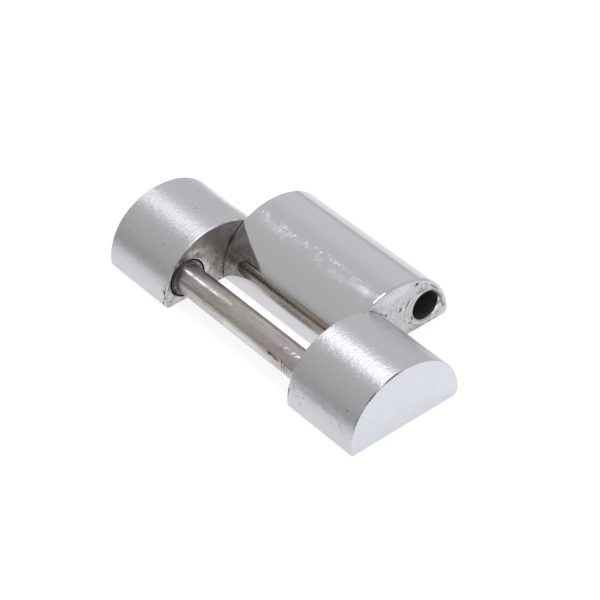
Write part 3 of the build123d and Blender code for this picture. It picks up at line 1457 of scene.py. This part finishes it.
    def finishes(self, side: Side) -> dict[Enum, Finish]:
        """Finishes of a block.

        Args:
            side: Which side the block stands on.

        Returns:
            The finish of each surface.
        """
        left = side is Side.LEFT
        wall_x = side.value * self.wall_x
        rim = self.rim_wear if left else self.rim_wear + self.right_rim_marks
        return {
            BlockFace.SATIN: SatinSteel(bare_steel(0.63), 0.39,
                                        self.left_satin_wear_and_sheen if left else self.right_satin_wear_and_shade),
            BlockFace.END: FacedSteel((0.688, 0.699, 0.731, 1.0), 0.27),
            BlockFace.WALL: GrimySteel((0.44, 0.415, 0.395, 1.0), 0.36,
                                       on_wall(self.wall_wear_and_seam_shade, wall_x)),
            BlockFace.BORE: GrimySteel((0.62, 0.58, 0.55, 1.0), 0.42),
            BlockFace.INNER_RIM: RimSteel(bare_steel(0.60), 0.36, on_wall(rim, wall_x)),
            BlockFace.MOUTH: RimSteel(bare_steel(0.72), 0.30, self.left_mouth_dark_arcs if left else ()),
            BlockFace.OUTER_RIM: RimSteel(bare_steel(0.62), 0.24,
                                          self.left_end_rim_tarnish if left else self.right_end_rim_painted_dark_reflection),
        }


@dataclass
class CenterLink:
    """Centre link, polished, with the bore for the next link's screw bar, in millimetres."""

    length: float = 10.0
    section: Section = Section(height=3.60)
    middle_y: float = 1.90
    left_reach: float = 0.025
    left_round: float = 0.02
    right_round: float = 0.155
    rim_segments: int = 4
    axis_z: float = 1.32
    pivot_y: float = 0.0
    bore_y: float = 3.88
    bore_radius: float = 0.85
    pivot_mouth: float = 0.08
    bore_mouth: float = 0.14
    bore_mouth_depth: float = 0.06
    near_bore: float = 0.16
    polish_wear_and_reflected_shade: tuple[Layer, ...] = (
        # Brown grains low along the front, partly dirt and partly painted shade: they darken the mirrored
        # floor under the screw bar.
        Dirt((
            (-3.40, -1.50, 1.18, 4.95, -1.50, 1.18, 0.54, 0.90),
        ), (0.39, 0.345, 0.295, 1.0), extra_cover=0.19),
        Marks((
            (-3.72, 0.77, 3.434, -1.79, 0.84, 3.455, 0.035, 0.8),
        ), grey(0.45)),
        Glints((
            (2.60, 0.60, 3.40, 4.80, 0.78, 3.44, 0.75, 0.65),
            (-4.60, 0.50, 3.37, -2.20, 0.62, 3.40, 0.80, 0.45),
        ), grey(0.68), 0.30),
    )
    end_wear_and_painted_light: tuple[Layer, ...] = (
        Marks((
            (3.22, 3.00, 3.42, 3.14, 0.20), (2.20, 2.07, 2.12, 1.86, 0.20, 0.9),
            (1.19, 2.20, 1.22, 2.14, 0.17), (2.94, 1.12, 2.92, 0.92, 0.16, 0.95),
            (2.72, 0.82, 2.78, 0.78, 0.17, 0.75), (2.45, 1.80, 2.90, 2.38, 0.12, 0.95),
            (2.62, 1.66, 3.02, 2.17, 0.08, 0.45), (3.30, 2.45, 3.95, 2.42, 0.34, 0.40),
            (4.20, 2.58, 4.72, 2.00, 0.20, 0.55), (4.72, 1.70, 4.90, 1.20, 0.26, 0.60),
            # The last spot on this row and the first on the next are painted shade along the bottom edge of
            # the end face.
            (0.60, 2.55, 1.05, 2.28, 0.22, 0.60), (2.50, 0.36, 3.60, 0.28, 0.42, 0.20),
            (2.20, 0.16, 4.95, 0.16, 0.12, 0.95), (4.86, 1.62, 4.98, 0.78, 0.28, 0.55),
            (4.98, 0.86, 5.12, 0.66, 0.22, 0.55), (4.50, 0.36, 4.72, 0.50, 0.16, 0.45),
        ), x=5.0),
        Glints((
            # Painted light: the first spot on this row is a lighter zone along the top of the end face, and
            # the second carries the painted highlight of the bore's lit lip onto the face.
            (0.70, 3.00, 2.90, 3.20, 0.90, 0.5), (4.56, 0.62, 4.34, 0.40, 0.11),
            (2.58, 1.72, 3.02, 2.30, 0.13), (2.26, 1.70, 2.44, 2.08, 0.11, 0.9),
        ), grey(0.80), 0.45, x=5.0),
    )
    mouth_painted_shade_and_lit_lip: tuple[Layer, ...] = (
        # Painted shade: dark arcs round the mouth's upper right, which set off the lit lip.
        Marks((
            (4.10, 2.26, 4.62, 1.92, 0.24, 0.7), (4.62, 1.92, 4.84, 1.36, 0.24, 0.8),
            (4.84, 1.10, 4.78, 0.98, 0.20, 0.7),
        ), x=4.97),
        # Painted highlight: the lit lip at the lower right of the mouth.
        Glints((
            (4.70, 0.92, 4.52, 0.62, 0.20), (4.52, 0.62, 4.28, 0.48, 0.16, 0.9),
            (4.80, 1.28, 4.82, 1.16, 0.12),
        ), grey(1.0), 0.35, x=4.97),
    )

    def build(self) -> list[bpy.types.Object]:
        """Models, dresses and mounts the link.

        Returns:
            The finished piece.
        """
        end_x = self.length / 2
        left_x = -end_x - self.left_reach
        block = Block(self.section, self.middle_y, left_x, end_x, self.left_round, self.right_round,
                      self.rim_segments).build("center_block", [
                          Hole(self.bore_radius, self.pivot_y, self.axis_z, left_x, end_x,
                               self.pivot_mouth, self.pivot_mouth),
                          Hole(self.bore_radius, self.bore_y, self.axis_z, left_x, end_x,
                               self.bore_mouth, self.bore_mouth, self.bore_mouth_depth)])
        mount(block, Body.CENTER, "center_link")
        self.dress(block)
        return [block]

    def dress(self, block: bpy.types.Object) -> None:
        """Gives each surface its finish.

        Args:
            block: The finished block.
        """
        end_x = self.length / 2

        def which(place: Vector, normal: Vector) -> CenterFace:
            """Surface that a face belongs to.

            Args:
                place: Centre of the face, in millimetres.
                normal: Normal of the face.

            Returns:
                The surface.
            """
            if abs(place.x) > end_x - ON_FACE and abs(normal.x) > FLAT:
                return CenterFace.END
            for y in (self.pivot_y, self.bore_y):
                if math.hypot(place.y - y, place.z - self.axis_z) < self.bore_radius + self.near_bore:
                    return CenterFace.MOUTH if abs(normal.x) > SLANTED else CenterFace.BORE
            return CenterFace.POLISH

        paint(block, {
            CenterFace.POLISH: PolishedSteel(bare_steel(0.63), 0.06, self.polish_wear_and_reflected_shade),
            CenterFace.END: RoughSteel((0.665, 0.66, 0.668, 1.0), 0.46, self.end_wear_and_painted_light,
                                       bore_y=self.bore_y, bore_z=self.axis_z),
            CenterFace.BORE: GrimySteel((0.36, 0.37, 0.38, 1.0), 0.45),
            CenterFace.MOUTH: RimSteel((0.44, 0.43, 0.42, 1.0), 0.42, self.mouth_painted_shade_and_lit_lip),
        }, which)


@dataclass
class ScrewBar:
    """Screw bar with slotted head, thread, collar and smooth shank, in millimetres."""

    axis_y: float = -3.88
    axis_z: float = 1.32
    steps: int = 96
    smooth_degrees: float = 30
    head_x: float = -9.90
    head_length: float = 0.80
    head_radius: float = 1.07
    head_break: float = 0.08
    slot_width: float = 0.45
    slot_depth: float = 0.55
    slot_break: float = 0.04
    cut_beyond: float = 0.2
    thread_radius: float = 1.05
    root_radius: float = 0.91
    pitch: float = 0.35
    turns: int = 8
    turn_steps: int = 64
    ridge_flank: float = 0.4
    ridge_crest: float = 0.12
    ridge_sunk: float = 0.06
    ridge_start: float = 0.06
    ridge_spare: float = 0.02
    collar_radius: float = 1.03
    collar_lead: float = 0.09
    collar_break: float = 0.015
    collar_face_x: float = -5.08
    shank_fillet: float = 0.03
    shank_radius: float = 0.83
    tip_x: float = 8.45
    tip_break: float = 0.18
    bright_end_x: float = -1.0
    underside: tuple[Row, ...] = (
        (-5.0, -4.70, 1.23, 5.0, -4.70, 1.23, 0.90), (-0.6, -3.66, 2.12, 4.2, -3.66, 2.12, 0.30, 0.5),
    )
    grime: Dirt = Dirt((
        (-3.8, -3.30, 1.92, 4.9, -3.30, 1.92, 0.30), (-5.0, -3.05, 1.18, 1.8, -3.05, 1.30, 0.56),
        (-4.4, -4.70, 1.20, 4.9, -4.70, 1.20, 0.34, 0.16), (2.2, -4.71, 1.28, 4.9, -4.71, 1.28, 0.40, 0.25),
        (2.75, -4.62, 1.68, 3.60, -4.66, 1.56, 0.22), (3.50, -4.64, 1.70, 4.90, -4.66, 1.55, 0.12, 0.8),
        (3.86, -4.70, 1.40, 3.95, -4.60, 0.95, 0.10, 0.8), (-0.6, -4.62, 0.95, 0.5, -4.71, 1.24, 0.14, 0.6),
    ), (0.29, 0.205, 0.12, 1.0), extra_cover=0.08)
    worn_marks: tuple[Layer, ...] = (
        Marks((
            (2.58, -4.64, 1.65, 3.00, -4.65, 1.63, 0.17), (2.95, -4.65, 1.62, 3.60, -4.67, 1.57, 0.11, 0.9),
            (2.85, -4.60, 1.73, 3.40, -4.62, 1.69, 0.07, 0.7),
            (3.76, -4.54, 1.82, 3.84, -4.71, 1.28, 0.15, 0.9),
            (3.98, -4.63, 1.68, 4.04, -4.71, 1.24, 0.13, 0.8),
            (4.20, -4.66, 1.58, 4.24, -4.71, 1.26, 0.11, 0.6),
            (4.45, -4.62, 1.72, 4.62, -4.66, 1.55, 0.15, 0.5),
            (3.20, -4.36, 2.00, 3.44, -4.18, 2.09, 0.06, 0.7),
        )),
        Glints((
            (3.02, -4.14, 2.11, 3.10, -4.07, 2.13, 0.09, 0.8), (3.38, -4.20, 2.09, 3.58, -4.00, 2.14, 0.12),
            (3.70, -4.12, 2.11, 3.78, -4.05, 2.13, 0.07, 0.6), (3.98, -4.18, 2.10, 4.16, -4.00, 2.14, 0.15),
            (4.28, -4.16, 2.10, 4.44, -4.04, 2.13, 0.17), (4.46, -4.12, 2.11, 4.58, -4.00, 2.14, 0.13),
        )),
    )
    turned_marks_and_painted_light: tuple[Layer, ...] = (
        Marks((
            # These two rows are painted shade where the bar comes out of the hole.
            (-5.05, -4.25, 2.06, -5.05, -4.62, 1.70, 0.32, 0.85),
            (-5.05, -4.62, 1.70, -5.05, -4.71, 1.20, 0.32, 0.85),
            (-3.66, -4.71, 1.31, -3.60, -4.71, 1.28, 0.11, 0.8),
            (-2.85, -4.65, 1.63, -2.35, -4.68, 1.52, 0.16, 0.35),
            (-1.80, -4.67, 1.57, -1.74, -4.67, 1.56, 0.09, 0.6),
            (-3.45, -4.67, 1.05, -3.35, -4.66, 1.00, 0.07, 0.6),
        )),
        Glints((
            # Rubbed stripes along the top and one on the rear; their light colour paints the bar's
            # highlight line and its reflection in the centre link.
            (-4.95, -4.15, 2.105, -4.10, -4.14, 2.108, 0.24),
            (-4.40, -4.14, 2.107, -2.70, -4.15, 2.105, 0.21, 0.95),
            (-3.00, -4.15, 2.105, -1.90, -4.11, 2.118, 0.16, 0.7),
            (-4.50, -3.29, 1.905, -3.40, -3.21, 1.81, 0.09, 0.9),
        ), (0.96, 0.90, 0.88, 1.0), 0.50),
    )
    collar_dark_arcs_and_speck: tuple[Layer, ...] = (
        # Dark arcs over the left half of the collar's face, and one light speck.
        Marks((
            (-4.28, 2.26, -4.60, 2.02, 0.26, 0.85), (-4.60, 2.02, -4.84, 1.62, 0.30, 0.95),
            (-4.84, 1.62, -4.86, 1.12, 0.30, 0.95), (-4.86, 1.12, -4.66, 0.68, 0.26, 0.85),
        ), x=-5.08),
        Glints((
            (-3.14, 1.88, -3.10, 1.80, 0.11, 0.9),
        ), x=-5.08),
    )

    @property
    def thread_x(self) -> float:
        """Where the head ends and the thread's core begins."""
        return self.head_x + self.head_length

    @property
    def collar_x(self) -> float:
        """Where the thread's core ends and the collar begins."""
        return self.thread_x + self.turns * self.pitch

    def build(self) -> list[bpy.types.Object]:
        """Models, dresses and mounts the bar.

        Returns:
            The finished piece.
        """
        outline = [(self.head_x, self.head_radius - self.head_break),
                   (self.head_x + self.head_break, self.head_radius),
                   (self.thread_x, self.head_radius), (self.thread_x, self.root_radius),
                   (self.collar_x, self.root_radius),
                   (self.collar_x + self.collar_lead, self.collar_radius),
                   (self.collar_face_x - self.collar_break, self.collar_radius),
                   (self.collar_face_x, self.collar_radius - self.collar_break),
                   (self.collar_face_x, self.shank_radius + self.shank_fillet),
                   (self.collar_face_x + self.shank_fillet, self.shank_radius),
                   (self.bright_end_x, self.shank_radius), (self.tip_x - self.tip_break, self.shank_radius),
                   (self.tip_x, self.shank_radius - self.tip_break)]
        piece = Workpiece.turned("screw_bar_steel", outline, self.axis_y, self.axis_z, self.steps)
        piece.combine(self.thread(), Join.ADD)
        piece.combine(self.slot(), Join.CUT)
        bar = piece.finish(self.smooth_degrees)
        mount(bar, Body.SCREW, "screw_bar")
        self.dress(bar)
        return [bar]

    def dress(self, bar: bpy.types.Object) -> None:
        """Gives the worn shank, its bright turned end, the clean head and the collar's face their finishes.

        Args:
            bar: The finished bar.
        """
        pale = Rubbed(self.underside, (0.66, 0.65, 0.66, 1.0), 0.26, shake=0.12)
        dull = replace(pale, color=(0.52, 0.51, 0.515, 1.0), roughness=0.22)

        def which(place: Vector, normal: Vector) -> BarFace:
            """Surface that a face belongs to.

            Args:
                place: Centre of the face, in millimetres.
                normal: Normal of the face.

            Returns:
                The surface.
            """
            if place.x < self.collar_face_x + self.shank_fillet:
                return BarFace.COLLAR if normal.x > FACING else BarFace.HEAD
            return BarFace.TURNED if place.x < self.bright_end_x else BarFace.WORN

        paint(bar, {
            BarFace.WORN: BarSteel((0.51, 0.465, 0.46, 1.0), 0.30,
                                   (pale, self.grime, *self.worn_marks)),
            BarFace.TURNED: BarSteel((0.47, 0.45, 0.445, 1.0), 0.26,
                                     (dull, self.grime, *self.turned_marks_and_painted_light), anisotropy=0.85,
                                     stain_share=0.45),
            BarFace.HEAD: BarSteel((0.56, 0.55, 0.54, 1.0), 0.28, stain_share=0.35),
            BarFace.COLLAR: GrimySteel((0.22, 0.205, 0.195, 1.0), 0.42, self.collar_dark_arcs_and_speck,
                                       film_color=(0.13, 0.12, 0.11, 1.0)),
        }, which)

    def thread(self) -> Workpiece:
        """Winds the thread's ridge round the axis and lets both its ends run out.

        Returns:
            The ridge, whose foot lies inside the core.
        """
        foot = self.root_radius - self.ridge_sunk
        rise = self.thread_radius - foot
        flank = self.ridge_flank * self.pitch
        ridge = Workpiece("thread", (self.thread_x - self.pitch / 2, 0.0, foot))
        for way_x, way_z in ((flank, rise), (self.ridge_crest * self.pitch, 0.0), (flank, -rise)):
            ridge.line((way_x, 0.0, way_z))
        ridge.fill()
        bpy.ops.mesh.delete(type="ONLY_FACE")
        ridge.wind(self.pitch, self.turns + 1, self.turn_steps)
        lead = self.thread_radius - self.root_radius + self.ridge_spare
        start_x = self.thread_x + self.ridge_start
        inside = foot - self.cut_beyond
        runout = [(start_x, inside), (start_x, self.root_radius), (start_x + lead, self.root_radius + lead),
                  (self.collar_x - lead, self.root_radius + lead), (self.collar_x, self.root_radius),
                  (self.collar_x, inside)]
        trim = Workpiece.turned("thread_trim", runout, 0.0, 0.0, self.steps)
        ridge.combine(trim, Join.KEEP_COMMON)
        ridge.move((0.0, self.axis_y, self.axis_z))
        return ridge

    def slot(self) -> Workpiece:
        """Makes the cutter for the head's slot, with broken edges at its mouth and floor.

        Returns:
            The cutter.
        """
        beyond = self.cut_beyond
        half = self.slot_width / 2
        floor_x = self.head_x + self.slot_depth
        upper = [(self.head_x - beyond, half + self.slot_break + beyond),
                 (self.head_x + self.slot_break, half), (floor_x - self.slot_break, half),
                 (floor_x, half - self.slot_break)]
        outline = upper + [(x, -height) for x, height in reversed(upper)]
        start_y = self.axis_y - self.head_radius - beyond
        cutter = Workpiece("slot", (outline[0][0], start_y, self.axis_z + outline[0][1]))
        cutter.path(outline)
        cutter.fill()
        cutter.extrude((0.0, 2 * (self.head_radius + beyond), 0.0))
        return cutter


def mount(piece: bpy.types.Object, body: Body, node: str) -> None:
    """Makes a finished piece ride on its body in the place of its CAD node.

    Args:
        piece: The finished piece.
        body: Body that it rides on.
        node: CAD node that it stands for.
    """
    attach(piece, body.value)
    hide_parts(node)


def paint(piece: bpy.types.Object, finishes: dict[Enum, Finish],
          which: Callable[[Vector, Vector], Enum], suffix: str = "") -> None:
    """Gives each face of a finished piece one of several finishes.

    Args:
        piece: The finished piece.
        finishes: Finish of each surface.
        which: Surface that a face belongs to, from its centre in millimetres and its normal.
        suffix: What follows a surface's name in the name of its material.
    """
    for surface, finish in finishes.items():
        piece.data.materials.append(finish.material(surface.value + suffix))
    numbers = {surface: number for number, surface in enumerate(finishes)}
    for face in piece.data.polygons:
        face.material_index = numbers[which(face.center / MM, face.normal)]


@dataclass
class Camera:
    """Camera at the photograph's angle, in millimetres and radians."""

    azimuth: float = 0.9243
    elevation: float = 0.6994
    roll: float = -0.0575
    target: Point = (0.9499, -1.1349, 2.0)
    distance: float = 126.354
    focal_pixels: float = 2460.23
    frame_pixels: float = 600.0
    sensor: float = 36.0
    clip: tuple[float, float] = (0.005, 5.0)

    def build(self) -> None:
        """Sets up the camera and makes it the scene's."""
        flat = math.cos(self.elevation)
        back = Vector((math.sin(self.azimuth) * flat, -math.cos(self.azimuth) * flat,
                       math.sin(self.elevation)))
        right = Vector((0, 0, 1)).cross(back).normalized()
        up = back.cross(right)
        lean = Matrix.Rotation(self.roll, 3, back)
        turn = Matrix((lean @ right, lean @ up, back)).transposed()
        data = bpy.data.cameras.new("camera")
        data.sensor_width = self.sensor
        data.lens = self.focal_pixels * self.sensor / self.frame_pixels
        data.clip_start, data.clip_end = self.clip
        camera = bpy.data.objects.new("camera", data)
        bpy.context.scene.collection.objects.link(camera)
        place = (Vector(self.target) + back * self.distance) * MM
        camera.matrix_world = Matrix.Translation(place) @ turn.to_4x4()
        bpy.context.scene.camera = camera


@dataclass
class Studio:
    """White floor, pale surroundings and one overhead softbox, in metres."""

    floor_radius: float = 0.25
    floor_corners: int = 96
    bright_center_y: float = 0.020
    bright_edge: tuple[float, float] = (0.028, 0.050)
    far_y: tuple[float, float] = (-0.045, 0.0)
    far_tones: tuple[float, float] = (0.40, 0.72)
    # Painted light: the floor's diffuse colour in reflections goes from lighter close round the link to
    # plainer further out, filling in the link's shade.
    shade_fill_edge: tuple[float, float] = (0.006, 0.012)
    shade_fill_tones: tuple[float, float] = (0.36, 0.227)
    glow: float = 0.75
    camera_glow: float = 0.86
    camera_tone: float = 0.20
    plain_tone: float = 0.85
    softbox_width: float = 0.09
    softbox_depth: float = 0.055
    softbox_distance: float = 0.15
    softbox_angle: float = 86.7
    softbox_radiance: float = 5.1
    softbox_color: tuple[float, float, float] = (0.887, 0.957, 1.0)
    dim_x: tuple[float, float] = (-0.60, 0.05)
    dim_front: tuple[float, float] = (0.72, 0.97)
    dim_amount: tuple[float, float] = (0.10, 0.55)
    # Share of the half turn from the rear horizon over the top to the front, brightness and extra blue
    sky: tuple[tuple[float, float, float], ...] = (
        (0.0, 0.64, 0.02), (0.03, 0.66, 0.02), (0.07, 0.785, 0.02), (0.25, 0.785, 0.022),
        (0.30, 0.74, 0.022), (0.36, 0.70, 0.022), (0.50, 0.695, 0.018), (0.58, 0.655, 0.005),
        (0.70, 0.63, 0.0), (0.85, 0.62, 0.0), (0.92, 0.58, 0.0), (0.965, 0.46, 0.0), (1.0, 0.37, 0.0))

    def build(self) -> None:
        """Sets up the floor, the surroundings, the softbox and the view."""
        self.floor()
        self.surroundings()
        self.softbox()
        bpy.context.scene.view_settings.view_transform = "Standard"

    def floor(self) -> None:
        """Lays the floor."""
        Workpiece.release()
        bpy.ops.mesh.primitive_circle_add(vertices=self.floor_corners, radius=self.floor_radius,
                                          fill_type="NGON")
        floor = bpy.context.object
        floor.name = "floor"
        floor.data.materials.append(self.paper())

    def paper(self) -> bpy.types.Material:
        """Makes the floor's paper: white to the camera, and in reflections pale, duller far out and painted
        lighter close round the link to fill in its shade.

        Returns:
            The new material.
        """
        made = bpy.data.materials.new("white_floor")
        sheet = NodeSheet(made)
        rays = sheet.add("LightPath").outputs
        camera = rays["Is Camera Ray"]
        mirrored = sheet.greater(rays["Is Glossy Ray"], rays["Is Transmission Ray"])
        place = sheet.place(shift=(0.0, -self.bright_center_y, 0.0))
        near = sheet.fade(sheet.length(place), *self.bright_edge, 1.0, 0.0)
        far = sheet.fade(sheet.parts(place)[1], *self.far_y, *self.far_tones)
        # Painted light: close round the link the floor's diffuse colour in reflections is lighter, filling
        # in the link's own shade.
        under = sheet.length(sheet.place((0.5, 1.0, 1.0)))
        shade_fill = sheet.scaled((1.0, 1.0, 1.02), sheet.fade(under, *self.shade_fill_edge, *self.shade_fill_tones))
        strength = sheet.between(camera, self.glow, self.camera_glow)
        glow = sheet.first("Emission", {"Color": sheet.blend(camera, grey(1.0, 0.02), grey(1.0)),
                                        "Strength": strength})
        lit = sheet.first("BsdfDiffuse", {"Color": sheet.blend(camera, shade_fill, grey(self.camera_tone))})
        white = sheet.first("AddShader", {0: glow, 1: lit})
        dull = sheet.first("Emission", {"Color": grey(1.0), "Strength": sheet.between(near, far, 1.0)})
        fading = sheet.times(mirrored, sheet.math("SUBTRACT", 1.0, near))
        shown = sheet.first("MixShader", {0: fading, 1: white, 2: dull})
        plain = sheet.first("BsdfDiffuse", {"Color": grey(self.plain_tone)})
        surface = sheet.first("MixShader", {0: sheet.greater(camera, mirrored), 1: plain, 2: shown})
        sheet.add("OutputMaterial", {"Surface": surface})
        return made

    def surroundings(self) -> None:
        """Sets up the mild grey surroundings, white to the camera and darker low in front."""
        world = bpy.data.worlds.new("studio")
        bpy.context.scene.world = world
        sheet = NodeSheet(world)
        x, y, z = sheet.parts(sheet.add("TexCoord").outputs["Generated"])
        share = sheet.math("DIVIDE", sheet.math("ARCTAN2", z, y), math.pi, clamp=True)
        tones = sheet.ramp(share, [(stop, grey(tone, blue)) for stop, tone, blue in self.sky])
        low_front = sheet.times(sheet.fade(x, *self.dim_x),
                                sheet.fade(share, *self.dim_front, *self.dim_amount))
        toned = sheet.scaled(tones, sheet.math("SUBTRACT", 1.0, low_front))
        camera = sheet.add("LightPath").outputs["Is Camera Ray"]
        light = sheet.first("Background", {"Color": sheet.blend(camera, toned, grey(1.0)), "Strength": 1.0})
        sheet.add("OutputWorld", {"Surface": light})

    def softbox(self) -> None:
        """Hangs the softbox over the link, leaning a little to the rear."""
        data = bpy.data.lights.new("softbox", "AREA")
        data.shape = "RECTANGLE"
        data.size = self.softbox_width
        data.size_y = self.softbox_depth
        data.energy = self.softbox_radiance * math.pi * self.softbox_width * self.softbox_depth
        data.color = self.softbox_color
        lamp = bpy.data.objects.new("softbox", data)
        bpy.context.scene.collection.objects.link(lamp)
        lean = math.radians(self.softbox_angle)
        way = Vector((0, math.cos(lean), math.sin(lean)))
        lamp.location = way * self.softbox_distance
        lamp.rotation_mode = "QUATERNION"
        lamp.rotation_quaternion = way.to_track_quat("Z", "Y")
        lamp.visible_camera = False


def main() -> None:
    """Builds the link and the studio, and reports each piece."""
    logging.basicConfig(level=logging.INFO, format="%(message)s")
    for assembly in (OuterFrame(), CenterLink(), ScrewBar()):
        for piece in assembly.build():
            LOG.info("%s: %d faces, %d materials", piece.name, len(piece.data.polygons),
                     len(piece.data.materials))
    Camera().build()
    Studio().build()


if __name__ == "__main__":
    main()
